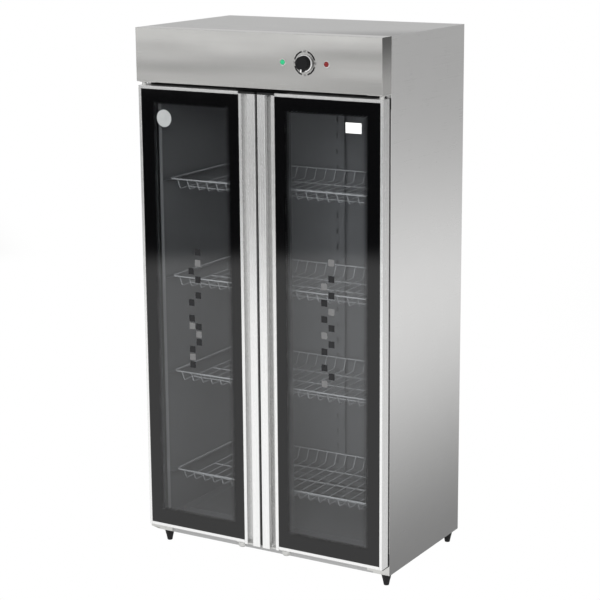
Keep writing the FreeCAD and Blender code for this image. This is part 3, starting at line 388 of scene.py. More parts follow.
def studio_sky(name, studio):
    """Surroundings that go from the grey of the horizon to the one overhead."""
    finish = Finish(name, "World")
    here = finish.node("ShaderNodeTexCoord", output="Generated")
    height = finish.node("ShaderNodeSeparateXYZ", {}, {0: here}, "Z")
    stops = ((0.0, studio.sky), (1.0, studio.zenith))
    tone = finish.node("ShaderNodeValToRGB", {"stops": stops}, {"Fac": height})
    values = {"Color": tone, "Strength": studio.sky_power}
    return finish.show(finish.node("ShaderNodeBackground", {}, values))


def metal_palette(look):
    """Every metal finish by name."""
    outer = {"contrast": 0.012, "depth": 0.006}
    bar = {"roughness": 0.26, "contrast": 0.008, "depth": 0.002, "metallic": 0.8,
           "painted_shades": BAR_PAINTED_SHADES}
    return {
        "steel_across": brushed_metal("steel_across", look.steel, "x", roughness=0.32, **outer),
        "steel_top": brushed_metal("steel_top", look.shaded_top_steel, "x", painted_shades=TOP_PAINTED_SHADES, **outer),
        "steel_header": brushed_metal("steel_header", look.header_steel, "x", roughness=0.24,
                                      painted_shades=HEADER_PAINTED_SHADES, sag=0.002, **outer),
        "steel_side": brushed_metal("steel_side", look.steel, "y", painted_shades=SIDE_PAINTED_SHADES, **outer),
        "liner_sheet": brushed_metal("liner_sheet", look.liner_steel, "z", roughness=0.5,
                                     contrast=0.05, depth=0.03, metallic=0.6),
        "folded_liner": brushed_metal("folded_liner", look.liner_steel, "x", roughness=0.42,
                                      contrast=0.05, depth=0.04, metallic=0.7),
        "frame_sheet": brushed_metal("frame_sheet", look.steel, "z", roughness=0.45,
                                     contrast=0.02, depth=0.01, metallic=0.5),
        "bar_upright": brushed_metal("bar_upright", look.aluminium, "z", **bar),
        "bar_across": brushed_metal("bar_across", look.aluminium, "x", **bar),
        "zinc_plate": brushed_metal("zinc_plate", look.zinc, "x", roughness=0.34, contrast=0.1,
                                    depth=0.08),
        "heating_coil": brushed_metal("heating_coil", look.coil, "x", roughness=0.5, contrast=0.15,
                                      depth=0.1),
        "chrome_plate": polished_metal("chrome_plate", look.chrome, roughness=0.1),
        "rack_wire": polished_metal("rack_wire", look.wire, roughness=0.25, metallic=0.3),
    }


def other_palette(look):
    """Glass, plastic, rubber and the rest by name."""
    cast = {"roughness": 0.4, "grain": 1200.0, "depth": 0.2}
    print_coat = {"grain": 500.0, "depth": 0.05}
    film = {"roughness": 0.35, "grain": 400.0, "depth": 0.05}
    return {
        "door_pane": door_glass("door_pane", look),
        "quartz": clear_tube("quartz"),
        "ceramic": moulded("ceramic", look.ceramic, 0.4, grain=500.0, depth=0.1, coat=0.2),
        "glass_wool": glass_wool("glass_wool", look.wool),
        "black_plastic": moulded("black_plastic", look.black, shine=0.1, **cast),
        "cap_plastic": moulded("cap_plastic", look.black, shine=0.3, lower=look.nylon, **cast),
        "black_rubber": moulded("black_rubber", look.rubber, 0.7, grain=700.0, depth=0.3,
                                shine=0.15),
        "grey_rubber": moulded("grey_rubber", look.seal, 0.55, grain=800.0, depth=0.2),
        "nylon": moulded("nylon", look.nylon, 0.42, depth=0.12),
        "dial_ink": moulded("dial_ink", look.ink, 0.6, shine=0.15, **print_coat),
        "white_mark": moulded("white_mark", look.label, 0.5, **print_coat),
        "glass_ink": moulded("glass_ink", look.print_dark, 0.3, shine=0.25, **print_coat),
        "glass_ink_pale": moulded("glass_ink_pale", look.print_pale, 0.3, **print_coat),
        "label_film": moulded("label_film", look.label, **film),
        "label_film_grey": moulded("label_film_grey", look.label_grey, **film),
        "green_lens": lit_lens("green_lens", look.green),
        "red_lens": lit_lens("red_lens", look.red),
    }


palette = {}

# ------------------------------------------------------------------ mesh making

SOFT_ANGLE = math.radians(35)
CAD_ANGLE = math.radians(40)
WELD_REACH = 0.00001


def add_piece(name, shape, body, finish, replaced=()):
    """Turn a bmesh or mesh into a piece of the cabinet with its body, slot and finish."""
    if isinstance(shape, bmesh.types.BMesh):
        mesh = bpy.data.meshes.new(name)
        shape.to_mesh(mesh)
        shape.free()
    else:
        mesh = shape
        mesh.name = name
    made = bpy.data.objects.new(name, mesh)
    bpy.context.scene.collection.objects.link(made)
    mesh.materials.clear()
    mesh.materials.append(palette[finish])
    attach(made, body)
    if replaced:
        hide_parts(*replaced)
    return made


def smooth(made, angle=35.0):
    """Round shading with crisp edges where faces meet sharply."""
    made.data.shade_smooth()
    made.data.set_sharp_from_angle(angle=math.radians(angle))
    return made


def bevel(made, width, angle):
    """Bevel modifier on the edges sharper than an angle."""
    modifier = made.modifiers.new("edge", "BEVEL")
    modifier.width = width
    modifier.segments = 2
    modifier.limit_method = "ANGLE"
    modifier.angle_limit = angle


def soften(made, width):
    """Bevel a piece's sharp edges and round its shading."""
    bevel(made, width, SOFT_ANGLE)
    return smooth(made)


def ease_edges(node, width):
    """Round a CAD node's sharp edges with modifiers, its mesh left as it is."""
    node.modifiers.new("weld", "WELD").merge_threshold = WELD_REACH
    bevel(node, width, CAD_ANGLE)


def paint(names, finish):
    """Give carried-over nodes a finish."""
    for name in names:
        NODES[name].data.materials.clear()
        NODES[name].data.materials.append(palette[finish])


def add_block(shape, low, high):
    """Closed box between two corners."""
    verts = [shape.verts.new((x, y, z)) for x in (low[0], high[0]) for y in (low[1], high[1])
             for z in (low[2], high[2])]
    for face in ((0, 1, 3, 2), (4, 6, 7, 5), (0, 4, 5, 1), (2, 3, 7, 6), (0, 2, 6, 4),
                 (1, 5, 7, 3)):
        shape.faces.new([verts[index] for index in face])


def turning(axis):
    """Matrix that takes a shape turned about +Z to another axis."""
    return {
        "z": Matrix.Identity(4),
        "-y": Matrix.Rotation(math.radians(90), 4, "X"),
        "y": Matrix.Rotation(math.radians(-90), 4, "X"),
        "x": Matrix.Rotation(math.radians(90), 4, "Y"),
        "-x": Matrix.Rotation(math.radians(-90), 4, "Y"),
    }[axis]


def add_turned(shape, profile, centre, axis="z", steps=48, ripple=None):
    """Turn a profile of (radius, height) about an axis; zero radii close at a pole.

    ripple, if given, is (count, depth): grooves cut around the turned surface.
    """
    place = Matrix.Translation(centre) @ turning(axis)
    rings = []
    for radius, height in profile:
        if radius == 0:
            rings.append([shape.verts.new(place @ Vector((0, 0, height)))])
            continue
        ring = []
        for step in range(steps):
            turn = 2 * math.pi * step / steps
            reach = radius
            if ripple:
                reach -= ripple[1] * (0.5 + 0.5 * math.cos(ripple[0] * turn)) ** 2
            spot = Vector((reach * math.cos(turn), reach * math.sin(turn), height))
            ring.append(shape.verts.new(place @ spot))
        rings.append(ring)
    for first, second in zip(rings, rings[1:]):
        for step in range(steps):
            after = (step + 1) % steps
            if len(first) == 1:
                shape.faces.new((first[0], second[step], second[after]))
            elif len(second) == 1:
                shape.faces.new((first[step], first[after], second[0]))
            else:
                shape.faces.new((first[step], first[after], second[after], second[step]))


def outward(shape):
    """Merge doubles and point every face outwards."""
    bmesh.ops.remove_doubles(shape, verts=shape.verts, dist=1e-6)
    bmesh.ops.recalc_face_normals(shape, faces=shape.faces)
    return shape


def add_ring_sweep(shape, low, high, section, flat=False):
    """Sweep a closed section of (inset, depth) round a rectangle with mitred corners.

    The rectangle stands in XZ with its depth along Y, or lies flat in XY with its depth along Z.
    """
    loops = []
    for right, up in ((0, 0), (1, 0), (1, 1), (0, 1)):
        loop = []
        for inset, depth in section:
            across = high[0] - inset if right else low[0] + inset
            along = high[1] - inset if up else low[1] + inset
            loop.append(shape.verts.new((across, along, depth) if flat else (across, depth, along)))
        loops.append(loop)
    count = len(section)
    for index, loop in enumerate(loops):
        after = loops[(index + 1) % len(loops)]
        for step in range(count):
            other = (step + 1) % count
            shape.faces.new((loop[step], after[step], after[other], loop[other]))


def add_arc_band(shape, centre, radii, angles, depth, steps=18):
    """Flat curved bar in a plane that faces -Y, from one angle to another."""
    rows = []
    for step in range(steps + 1):
        turn = math.radians(angles[0] + (angles[1] - angles[0]) * step / steps)
        side, rise = math.sin(turn), math.cos(turn)
        row = [shape.verts.new((centre[0] + radius * side, y, centre[1] + radius * rise))
               for radius in radii for y in depth]
        rows.append(row)
    for first, second in zip(rows, rows[1:]):
        for one, two in ((0, 1), (1, 3), (3, 2), (2, 0)):
            shape.faces.new((first[one], first[two], second[two], second[one]))
    shape.faces.new(rows[0])
    shape.faces.new(rows[-1])


# ------------------------------------------------------------------ geometry node trees

def plain_mesh(carrier):
    """What an object is after its modifiers, as a mesh of its own."""
    graph = bpy.context.evaluated_depsgraph_get()
    return bpy.data.meshes.new_from_object(carrier.evaluated_get(graph), depsgraph=graph)


class Graph:
    """A geometry node tree with named inputs for its sizes."""

    def __init__(self, name, sizes):
        self.sizes = sizes
        self.tree = bpy.data.node_groups.new(name, "GeometryNodeTree")
        self.sockets = {}
        for label, value in sizes.items():
            kind = "NodeSocketInt" if isinstance(value, int) else "NodeSocketFloat"
            self.sockets[label] = self.tree.interface.new_socket(label, in_out="INPUT",
                                                                 socket_type=kind)
        self.tree.interface.new_socket("Geometry", in_out="OUTPUT",
                                       socket_type="NodeSocketGeometry")
        self.entry = self.tree.nodes.new("NodeGroupInput")
        self.exit = self.tree.nodes.new("NodeGroupOutput")

    def size(self, label):
        """The tree's input of that name."""
        return self.entry.outputs[label]

    def node(self, kind, settings=None, values=None, output=0):
        """Add a node with its settings, then the values or links of its sockets."""
        made = self.tree.nodes.new(kind)
        for name, value in (settings or {}).items():
            setattr(made, name, value)
        for key, value in (values or {}).items():
            for one in value if isinstance(value, list) else [value]:
                if isinstance(one, bpy.types.NodeSocket):
                    self.tree.links.new(one, made.inputs[key])
                else:
                    made.inputs[key].default_value = one
        return made.outputs[output]

    def maths(self, operation, *values):
        return self.node("ShaderNodeMath", {"operation": operation}, dict(enumerate(values)))

    def vector(self, x=0.0, y=0.0, z=0.0):
        return self.node("ShaderNodeCombineXYZ", {}, {0: x, 1: y, 2: z})

    def tube(self, path, radius, sides=8):
        """Round wire along a curve."""
        ring = self.node("GeometryNodeCurvePrimitiveCircle", {},
                         {"Resolution": sides, "Radius": radius})
        values = {"Curve": path, "Profile Curve": ring, "Fill Caps": True}
        return self.node("GeometryNodeCurveToMesh", {}, values)

    def row(self, thing, count, step, start):
        """Copies of a thing in a row."""
        settings = {"mode": "OFFSET", "count_mode": "TOTAL"}
        values = {"Count": count, "Start Location": start, "Offset": step}
        points = self.node("GeometryNodeMeshLine", settings, values)
        return self.node("GeometryNodeInstanceOnPoints", {}, {"Points": points, "Instance": thing})

    def join(self, things):
        return self.node("GeometryNodeJoinGeometry", {}, {"Geometry": things})

    def finish_with(self, thing, material):
        """End the tree with a thing as one smooth mesh of a material."""
        real = self.node("GeometryNodeRealizeInstances", {}, {"Geometry": thing})
        real = self.node("GeometryNodeSetShadeSmooth", {}, {"Geometry": real})
        done = self.node("GeometryNodeSetMaterial", {}, {"Geometry": real, "Material": material})
        self.tree.links.new(done, self.exit.inputs[0])

    def bake(self, name):
        """Run the tree and return its plain mesh."""
        carrier = bpy.data.objects.new(name + "_carrier", bpy.data.meshes.new(name + "_seed"))
        bpy.context.scene.collection.objects.link(carrier)
        modifier = carrier.modifiers.new("tree", "NODES")
        modifier.node_group = self.tree
        for label, value in self.sizes.items():
            modifier[self.sockets[label].identifier] = value
        mesh = plain_mesh(carrier)
        carrier.modifiers.clear()
        bpy.data.objects.remove(carrier)
        return mesh


def rack_graph(sizes):
    """Rim, dipping cross wires and long wires of one rack, with the rim's centre line at Z 0."""
    graph = Graph("wire_rack", sizes)
    straight = graph.node("GeometryNodeCurvePrimitiveLine", {},
                          {"Start": (0, 0, 0), "End": (0, 1, 0)})
    fine = graph.node("GeometryNodeResampleCurve", {},
                      {"Curve": straight, "Count": graph.size("Points")})
    place = graph.node("GeometryNodeInputPosition")
    share = graph.node("ShaderNodeSeparateXYZ", {}, {0: place}, 1)
    turn = graph.maths("SINE", graph.maths("MULTIPLY", share, 2 * math.pi))
    eased = graph.maths("SUBTRACT", share, graph.maths("MULTIPLY", turn, graph.size("Crowding")))
    run = graph.maths("MULTIPLY", eased, graph.size("Depth"))
    left_over = graph.maths("SUBTRACT", graph.size("Depth"), run)
    near = graph.maths("MINIMUM", run, left_over)
    slope = {"Value": near, "From Min": graph.size("Lead"),
             "From Max": graph.maths("ADD", graph.size("Lead"), graph.size("Slope")),
             "To Min": 0.0, "To Max": graph.maths("MULTIPLY", graph.size("Dip"), -1.0)}
    drop = graph.node("ShaderNodeMapRange", {"interpolation_type": "SMOOTHSTEP"}, slope)
    bent = graph.node("GeometryNodeSetPosition", {},
                      {"Geometry": fine, "Position": graph.vector(0.0, run, drop)})
    wire = graph.tube(bent, graph.size("Wire"))
    gaps = graph.maths("SUBTRACT", graph.size("Count"), 1.0)
    half = graph.maths("MULTIPLY", gaps, graph.maths("MULTIPLY", graph.size("Pitch"), 0.5))
    start = graph.vector(graph.maths("MULTIPLY", half, -1.0))
    wires = graph.row(wire, graph.size("Count"), graph.vector(graph.size("Pitch")), start)
    frame_curve = graph.node("GeometryNodeCurvePrimitiveQuadrilateral", {"mode": "RECTANGLE"},
                             {"Width": graph.size("Width"), "Height": graph.size("Depth")})
    bend = {"Curve": frame_curve, "Radius": graph.size("Corner"), "Count": 8}
    rounded = graph.node("GeometryNodeFilletCurve", {"mode": "POLY"}, bend)
    rim = graph.tube(rounded, graph.size("Rim"), 12)
    middle = graph.vector(0.0, graph.maths("MULTIPLY", graph.size("Depth"), 0.5))
    rim = graph.node("GeometryNodeTransform", {}, {"Geometry": rim, "Translation": middle})
    reach = graph.maths("ADD", half, graph.size("Wire"))
    stringer_path = graph.node("GeometryNodeCurvePrimitiveLine", {}, {
        "Start": graph.vector(graph.maths("MULTIPLY", reach, -1.0)), "End": graph.vector(reach)})
    stringer = graph.tube(stringer_path, graph.size("Stringer"), 10)
    inset, below = graph.size("Stringer Inset"), graph.size("Stringer Drop")
    low = graph.maths("MULTIPLY", below, -1.0)
    span = graph.maths("SUBTRACT", graph.size("Depth"), graph.maths("MULTIPLY", inset, 2.0))
    step = graph.vector(0.0, graph.maths("MULTIPLY", span, 0.5))
    stringers = graph.row(stringer, 3, step, graph.vector(0.0, inset, low))
    graph.finish_with(graph.join([wires, rim, stringers]), palette["rack_wire"])
    return graph


def coil_graph(sizes):
    """Heating coil along X, centred on the origin."""
    graph = Graph("heating_coil", sizes)
    spiral = graph.node("GeometryNodeCurveSpiral", {}, {
        "Resolution": 10, "Rotations": graph.size("Turns"), "Height": graph.size("Length"),
        "Start Radius": graph.size("Radius"), "End Radius": graph.size("Radius")})
    wire = graph.tube(spiral, graph.size("Wire"), 5)
    back = graph.vector(graph.maths("MULTIPLY", graph.size("Length"), -0.5))
    values = {"Geometry": wire, "Translation": back, "Rotation": (0.0, math.pi / 2, 0.0)}
    graph.finish_with(graph.node("GeometryNodeTransform", {}, values), palette["heating_coil"])
    return graph


def screw_graph(sizes):
    """Pan heads in two upright rows and in the middle of the top and bottom edges, facing +Y."""
    graph = Graph("panel_screws", sizes)
    head = graph.node("GeometryNodeMeshUVSphere", {},
                      {"Segments": 20, "Rings": 12, "Radius": graph.size("Radius")})
    flat = graph.vector(1.0, graph.size("Flatness"), 1.0)
    head = graph.node("GeometryNodeTransform", {}, {"Geometry": head, "Scale": flat})
    slot_size = graph.vector(graph.size("Slot Length"), graph.size("Radius"),
                             graph.size("Slot Width"))
    bar = graph.node("GeometryNodeMeshCube", {}, {"Size": slot_size})
    raised = graph.vector(0.0, graph.size("Radius"))
    bar = graph.node("GeometryNodeTransform", {}, {"Geometry": bar, "Translation": raised})
    upright = {"Geometry": bar, "Rotation": (0.0, math.pi / 2, 0.0)}
    cross = graph.join([bar, graph.node("GeometryNodeTransform", {}, upright)])
    screw = graph.node("GeometryNodeMeshBoolean", {"operation": "DIFFERENCE", "solver": "EXACT"},
                       {"Mesh 1": head, "Mesh 2": cross})
    half, low = graph.size("Half Width"), graph.size("Lowest")
    height = graph.maths("SUBTRACT", graph.size("Highest"), low)
    gaps = graph.maths("SUBTRACT", graph.size("Count"), 1.0)
    step = graph.vector(0.0, 0.0, graph.maths("DIVIDE", height, gaps))
    rows = [graph.row(screw, graph.size("Count"), step,
                      graph.vector(graph.maths("MULTIPLY", half, side), 0.0, low))
            for side in (-1.0, 1.0)]
    middle = graph.row(screw, 2, graph.vector(0.0, 0.0, height), graph.vector(0.0, 0.0, low))
    graph.finish_with(graph.join([*rows, middle]), palette["zinc_plate"])
    return graph


# ------------------------------------------------------------------ settings

# Each of these makes one kind of setting from its name, its description and its default.

def colour(name, description, default):
    return bpy.props.FloatVectorProperty(name=name, description=description, default=default,
                                         subtype="COLOR", size=3, min=0.0, max=1.0)


def length(name, description, default):
    return bpy.props.FloatProperty(name=name, description=description, default=default,
                                   unit="LENGTH")


def lengths(name, description, default):
    return bpy.props.FloatVectorProperty(name=name, description=description, default=default,
                                         size=len(default), subtype="XYZ", unit="LENGTH")


def degrees(name, description, default):
    return bpy.props.FloatProperty(name=name, description=description, unit="ROTATION",
                                   default=math.radians(default), subtype="ANGLE")


def watts(name, description, default):
    return bpy.props.FloatProperty(name=name, description=description, default=default, min=0.0,
                                   unit="POWER")


def factor(name, description, default, most=1.0):
    return bpy.props.FloatProperty(name=name, description=description, default=default,
                                   subtype="FACTOR", min=0.0, max=most)


def whole(name, description, default):
    return bpy.props.IntProperty(name=name, description=description, default=default, min=1,
                                 subtype="UNSIGNED")


class CabinetLook(bpy.types.PropertyGroup):
    """Colours of the materials and the print on the panes."""

    steel: colour("Steel", "Outer skins", (0.76, 0.757, 0.75))
    header_steel: colour("Header steel", "Control header", (0.64, 0.636, 0.62))
    # The top steel is a darker copy of the outer steel: painted shade on the top sheet.
    shaded_top_steel: colour("Top steel", "Top sheet", (0.56, 0.558, 0.55))
    liner_steel: colour("Liner steel", "Chamber sheets", (0.42, 0.42, 0.42))
    aluminium: colour("Aluminium", "Door bars", (0.84, 0.84, 0.835))
    zinc: colour("Zinc", "Hinges and screws", (0.62, 0.62, 0.60))
    chrome: colour("Chrome", "Knob ring and lamp bezels", (0.86, 0.86, 0.86))
    wire: colour("Rack wire", "Bright wire of the racks", (0.88, 0.88, 0.87))
    ceramic: colour("Ceramic", "Heater holders", (0.82, 0.80, 0.74))
    wool: colour("Glass wool", "Insulation slabs", (0.72, 0.66, 0.48))
    black: colour("Black plastic", "Knob, caps and spacers", (0.008, 0.008, 0.0085))
    rubber: colour("Black rubber", "Feet, grommet and meeting seals", (0.014, 0.014, 0.014))
    seal: colour("Grey rubber", "Door gaskets", (0.16, 0.16, 0.165))
    nylon: colour("Nylon", "Glides and pivot bushes", (0.42, 0.42, 0.41))
    ink: colour("Dial ink", "Scale printed on the header", (0.01, 0.01, 0.01))
    label: colour("Film", "Pale film and the knob's mark", (0.78, 0.78, 0.77))
    label_grey: colour("Grey film", "Round film on the left pane", (0.30, 0.31, 0.31))
    print_dark: colour("Dark print", "Dark squares on the panes", (0.012, 0.012, 0.013))
    print_pale: colour("Pale print", "Pale squares on the panes", (0.12, 0.12, 0.12))
    green: colour("Green", "Green lamp lens", (0.015, 0.40, 0.17))
    red: colour("Red", "Red lamp lens", (0.15, 0.004, 0.005))
    coil: colour("Coil", "Heating coils", (0.30, 0.28, 0.26))
    frit_colour: colour("Printed border", "Black print around the panes", (0.0015, 0.0015, 0.0017))
    smoke: colour("Smoke", "Tint of light through a pane", (0.78, 0.79, 0.80))
    haze: factor("Haze", "Share of a clear pane that shows its own body", 0.04)
    window_inner: length("Window inner edge", "Clear window from the middle of the cabinet", 0.095)
    window_outer: length("Window outer edge", "Clear window from the middle of the cabinet", 0.367)
    window_low: length("Window foot", "Lower edge of the clear window", 0.131)
    window_high: length("Window head", "Upper edge of the clear window", 1.421)
    dot_pitch: length("Dot pitch", "Between the dots of the print's fading edge", 0.0068)
    dot_fade: length("Dot fade", "Reach of the dots into the window", 0.022)
    dot_share: factor("Dot size", "Radius of the first dots against their pitch", 0.46)


class CabinetSizes(bpy.types.PropertyGroup):
    """Sizes of the pieces built over the frame."""

    edge: length("Edge", "Rounding of the bars' edges", 0.0006)
    # The strip over the doors is a black sheet standing in for the gap's shadow: painted shadow.
    strip_length: length("Shadow strip", "Length of the black strip over the doors", 0.800)
    strip_height: length("Shadow strip height", "Height of the black strip over the doors", 0.0225)
    strip_thick: length("Shadow strip thickness", "Black strip ahead of the body's front", 0.005)
    square: length("Print square", "Side of a printed square", 0.020)
    square_pitch: length("Square pitch", "Between the rows of printed squares", 0.0244)
    film: length("Film", "Thickness of prints and films", 0.0002)
    rim_inset: length("Rim inset", "Rack's outer edge to the rim's centre line", 0.0025)
    rim_corner: length("Rim corner", "Bend of a rack's rim", 0.014)
    wire: length("Wire", "Radius of the cross wires", 0.0016)
    wire_pitch: length("Wire pitch", "Between cross wires", 0.035)
    wires: whole("Wires", "Cross wires in a rack", 21)
    wire_dip: length("Wire dip", "Cross wires below the rim", 0.032)
    wire_lead: length("Wire lead", "Level start of a cross wire", 0.004)
    wire_slope: length("Wire slope", "Run of a cross wire's slope", 0.020)
    stringer: length("Long wire", "Radius of the long wires", 0.002)
    stringer_inset: length("Long wire inset", "Outer long wires from the rim", 0.077)
    stringer_drop: length("Long wire drop", "Long wires below the rim", 0.035)
    tube: length("Quartz tube", "Radius of a heater tube", 0.006)
    coil_turns: factor("Coil turns", "Turns of a heating coil", 120.0, 400.0)
    coil_wire: length("Coil wire", "Radius of the coil's wire", 0.0004)
    scale_radius: length("Scale radius", "Middle of the scale's arcs", 0.0335)
    scale_line: length("Scale line", "Breadth of the scale's arcs", 0.0044)
    number_height: length("Number height", "Height of the scale's numbers", 0.0062)
    flutes: whole("Flutes", "Grooves round the knob", 24)
    screws: whole("Screws", "Screws down each edge of the back panel", 5)


class StudioSettings(bpy.types.PropertyGroup):
    """Camera, lamps and surroundings."""

    azimuth: degrees("Azimuth", "Camera round the cabinet from the front", 30.498)
    elevation: degrees("Elevation", "Camera above the target", 13.137)
    roll: degrees("Roll", "Camera about its line of sight", -0.429)
    distance: length("Distance", "Camera to target", 5.3896)
    target: lengths("Target", "Point the camera faces", (0.1144, -0.198, 0.85231))
    focal_widths: factor("Focal length", "Focal length in picture widths", 3.03137, 20.0)
    floor: colour("Floor", "Studio floor", (0.90, 0.90, 0.90))
    far_left: colour("Far floor, left", "Floor far off to the front left", (0.02, 0.02, 0.021))
    far_right: colour("Far floor, right", "Floor far off to the back right", (0.42, 0.42, 0.42))
    left_fade: lengths("Left fade", "Where the floor to the left darkens", (4.6, 5.2))
    left_clear: lengths("Left clear", "Where the floor to the left brightens again", (14.0, 22.0))
    right_fade: lengths("Right fade", "Where the floor to the right darkens", (2.2, 11.5))
    sky: colour("Sky", "Surroundings near the horizon", (0.82, 0.82, 0.82))
    zenith: colour("Zenith", "Surroundings overhead", (0.62, 0.62, 0.62))
    sky_power: factor("Sky power", "Strength of the surroundings", 0.9, 4.0)
    key: watts("Key lamp", "Power of the main lamp", 8.0)
    fill: watts("Fill lamp", "Power of the fill lamp", 260.0)


# ------------------------------------------------------------------ studio

KEY_LAMP = {"place": (-2.2, -3.9, 2.2), "size": 2.6}
FILL_LAMP = {"place": (1.9, -4.6, 2.9), "size": 2.0, "mirrored": False}
LAMP_AIM = Vector((0, 0, 0.8))
FLOOR_REACH = 400.0
CLIP_END = 1000.0

# ------------------------------------------------------------------ small shapes

# Places and sizes are in metres, angles in degrees, and profiles and sections in millimetres.

PANE_SQUARES = {
    "left": {"foot": 0.619, "columns": (0.2402, 0.2160),
             "dark": ((0, 2, 6, 8, 12), (3, 5, 9, 11, 14.5)), "pale": ((1, 5), (4, 13.1))},
    "right": {"foot": 0.6205, "columns": (0.2477, 0.2237),
              "dark": ((1, 5, 7, 11, 13), (2, 4, 8, 10)), "pale": ((9, 15), (0, 6, 12))},
}
ROUND_FILM_RADIUS = 0.0262
ROUND_FILM_X = -0.326
ROUND_FILM_Z = 1.3717
SQUARE_FILM_X = (0.2958, 0.347)
SQUARE_FILM_Z = (1.3675, 1.3975)
SCALE_NUMBERS = (("0", 180), ("30", 270), ("60", 0), ("90", 90))
ARC_START = 16
ARC_SPAN = 58
DIGIT_SHARE = 0.7           # a digit's height against its font size
FLUTE_DEPTH = 0.0008
MARK_WIDTH = 0.0026
MARK_THICK = 0.0006
MARK_START = 0.016          # from the middle of the knob
MARK_END = 0.0003           # from the knob's edge
RIDGE_START = 0.020         # from the middle of the knob
COIL_INSET = 0.026          # from a holder's outer face
COIL_SHARE = 0.6            # of the tube's radius
CAP_INSET = 0.020           # from the tube's end
FOOT_RADIUS = 0.016
HEAD_FLATNESS = 0.5         # a screw head's height against its radius
SLOT_LENGTH = 1.1           # against the head's radius
SLOT_WIDTH = 0.22           # against the head's radius
LENS_PROFILE = ((0, 0), (7.5, 0), (7.5, 3), (7.0, 4.2), (6.0, 5.1), (4.2, 5.7), (2.0, 5.95), (0, 6))
BEZEL_PROFILE = ((7.55, 0), (10, 0), (10, 1.6), (9.3, 2.6), (8.5, 3), (7.8, 2.7), (7.55, 2.2),
                 (7.55, 0))
SKIRT_PROFILE = ((4, 0), (25, 0), (25, 0.9), (24.2, 2.3), (23.2, 3), (4, 3), (4, 0))
KNOB_BASE = ((0, 0), (22, 0), (22, 1.8), (21.4, 2.6), (0, 2.6))
KNOB_GRIP = ((0, 2.6), (21.2, 2.6), (21, 4), (20.4, 15.5), (19.8, 16.9), (18.6, 17.7), (0, 17.7))
KNOB_FACE = ((0, 17.7), (17.4, 17.7), (17, 18.1), (0, 18.1))
FOOT_PROFILE = ((0, 0), (7.4, 0), (8, 0.7), (8.8, 4), (11.6, 19), (12.3, 19.8), (14.6, 31),
                (15.3, 31.9), (16, 33), (16, 39.2), (15.6, 40), (0, 40))
GLIDE_PROFILE = ((0, 17), (12.6, 17), (13, 16.6), (13, 10), (12.4, 6.6), (10.8, 3.4), (8.6, 1.2),
                 (6.6, 0.3), (4, 0), (0, 0))
GROMMET_PROFILE = ((4, 0), (7.9, 0), (7.9, 3.4), (11.2, 3.8), (12, 4.6), (11.6, 6.2), (9, 6.8),
                   (4.8, 6.8), (4, 6.2), (4, 0))
HOLDER_CAP = ((4.2, 0), (9.6, 0), (10, 0.5), (10, 2.4), (9.4, 3), (6.3, 3), (6.1, 2.4), (4.2, 2.2),
              (4.2, 0))
GASKET_SECTION = ((0.4, 0), (13.6, 0), (13.6, 1.8), (11.4, 2.6), (12.6, 4.6), (11.8, 7.2),
                  (9.2, 9.1), (7, 9.6), (4.8, 9.1), (2.2, 7.2), (1.4, 4.6), (2.6, 2.6), (0.4, 1.8))
TRAY_SECTION = ((24, 0), (6, 0), (4, 0.6), (3.2, 2.2), (3.2, 19.0), (1.2, 18.9), (0.2, 20.1),
                (0.6, 21.5), (2, 22), (3.6, 21.6), (4.2, 20.4), (4.2, 2.8), (5, 1.4), (6.6, 0.8),
                (24, 0.8))


def millimetres(rows):
    """Profile rows in millimetres as metres."""
    return [tuple(value * MM for value in row) for row in rows]


def centre_of(node):
    """Middle of a CAD node's box."""
    low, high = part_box(node)
    return (low + high) / 2


# ------------------------------------------------------------------ operators

class MixFinishes(bpy.types.Operator):
    """Mixes every material of the cabinet."""

    bl_idname = "cabinet.mix_finishes"
    bl_label = "Mix the finishes"

    def execute(self, context):
        look = context.scene.cabinet_look
        palette.update(metal_palette(look))
        palette.update(other_palette(look))
        return {"FINISHED"}


class DressShell(bpy.types.Operator):
    """Finishes the outer skins and the header."""

    bl_idname = "cabinet.dress_shell"
    bl_label = "Shell"

    def execute(self, _context):
        paint(("header_panel",), "steel_header")
        paint(("back_panel",), "steel_across")
        paint(("top_panel",), "steel_top")
        # The base panel takes the darker liner finish, painted shade for its strip under the doors.
        paint(("base_panel",), "folded_liner")
        paint(("side_panel_left", "side_panel_right"), "steel_side")
        return {"FINISHED"}


class BuildShadowStrip(bpy.types.Operator):
    """Builds a black strip behind the gap between the header and the doors: painted shadow."""

    bl_idname = "cabinet.build_dust_strip"
    bl_label = "Shadow strip"

    def execute(self, context):
        sizes = context.scene.cabinet_sizes
        half = sizes.strip_length / 2
        top = HEADER_LOW.z - sizes.film
        face = HEADER_HIGH.y
        shape = bmesh.new()
        add_block(shape, (-half, face - sizes.strip_thick, top - sizes.strip_height),
                  (half, face, top))
        made = add_piece("dust_strip", outward(shape), "cabinet", "black_rubber")
        soften(made, sizes.edge)
        return {"FINISHED"}


class DressChamber(bpy.types.Operator):
    """Finishes the liner, the front frame, the posts, the runners and the insulation."""

    bl_idname = "cabinet.dress_chamber"
    bl_label = "Chamber"

    def execute(self, _context):
        paint(("liner_left", "liner_right", "liner_back", "rear_posts"), "liner_sheet")
        paint(("liner_ceiling", "liner_floor", "rack_runners"), "folded_liner")
        paint(("front_frame",), "frame_sheet")
        paint(("insulation",), "glass_wool")
        return {"FINISHED"}


class DressDoorBars(bpy.types.Operator):
    """Finishes the door bars with softened edges, the end caps and the seals between the doors."""

    bl_idname = "cabinet.dress_door_bars"
    bl_label = "Door bars"

    def execute(self, context):
        for side in SIDES:
            paint((f"{side}_hinge_stile", f"{side}_handle_stile"), "bar_upright")
            paint((f"{side}_top_rail", f"{side}_bottom_rail"), "bar_across")
            paint((f"{side}_end_caps",), "cap_plastic")
            paint((f"{side}_meeting_seal",), "black_rubber")
            paint((f"{side}_pivot_bushes",), "nylon")
            for part in ("hinge_stile", "handle_stile", "top_rail", "bottom_rail", "end_caps"):
                ease_edges(NODES[f"{side}_{part}"], context.scene.cabinet_sizes.edge)
        return {"FINISHED"}


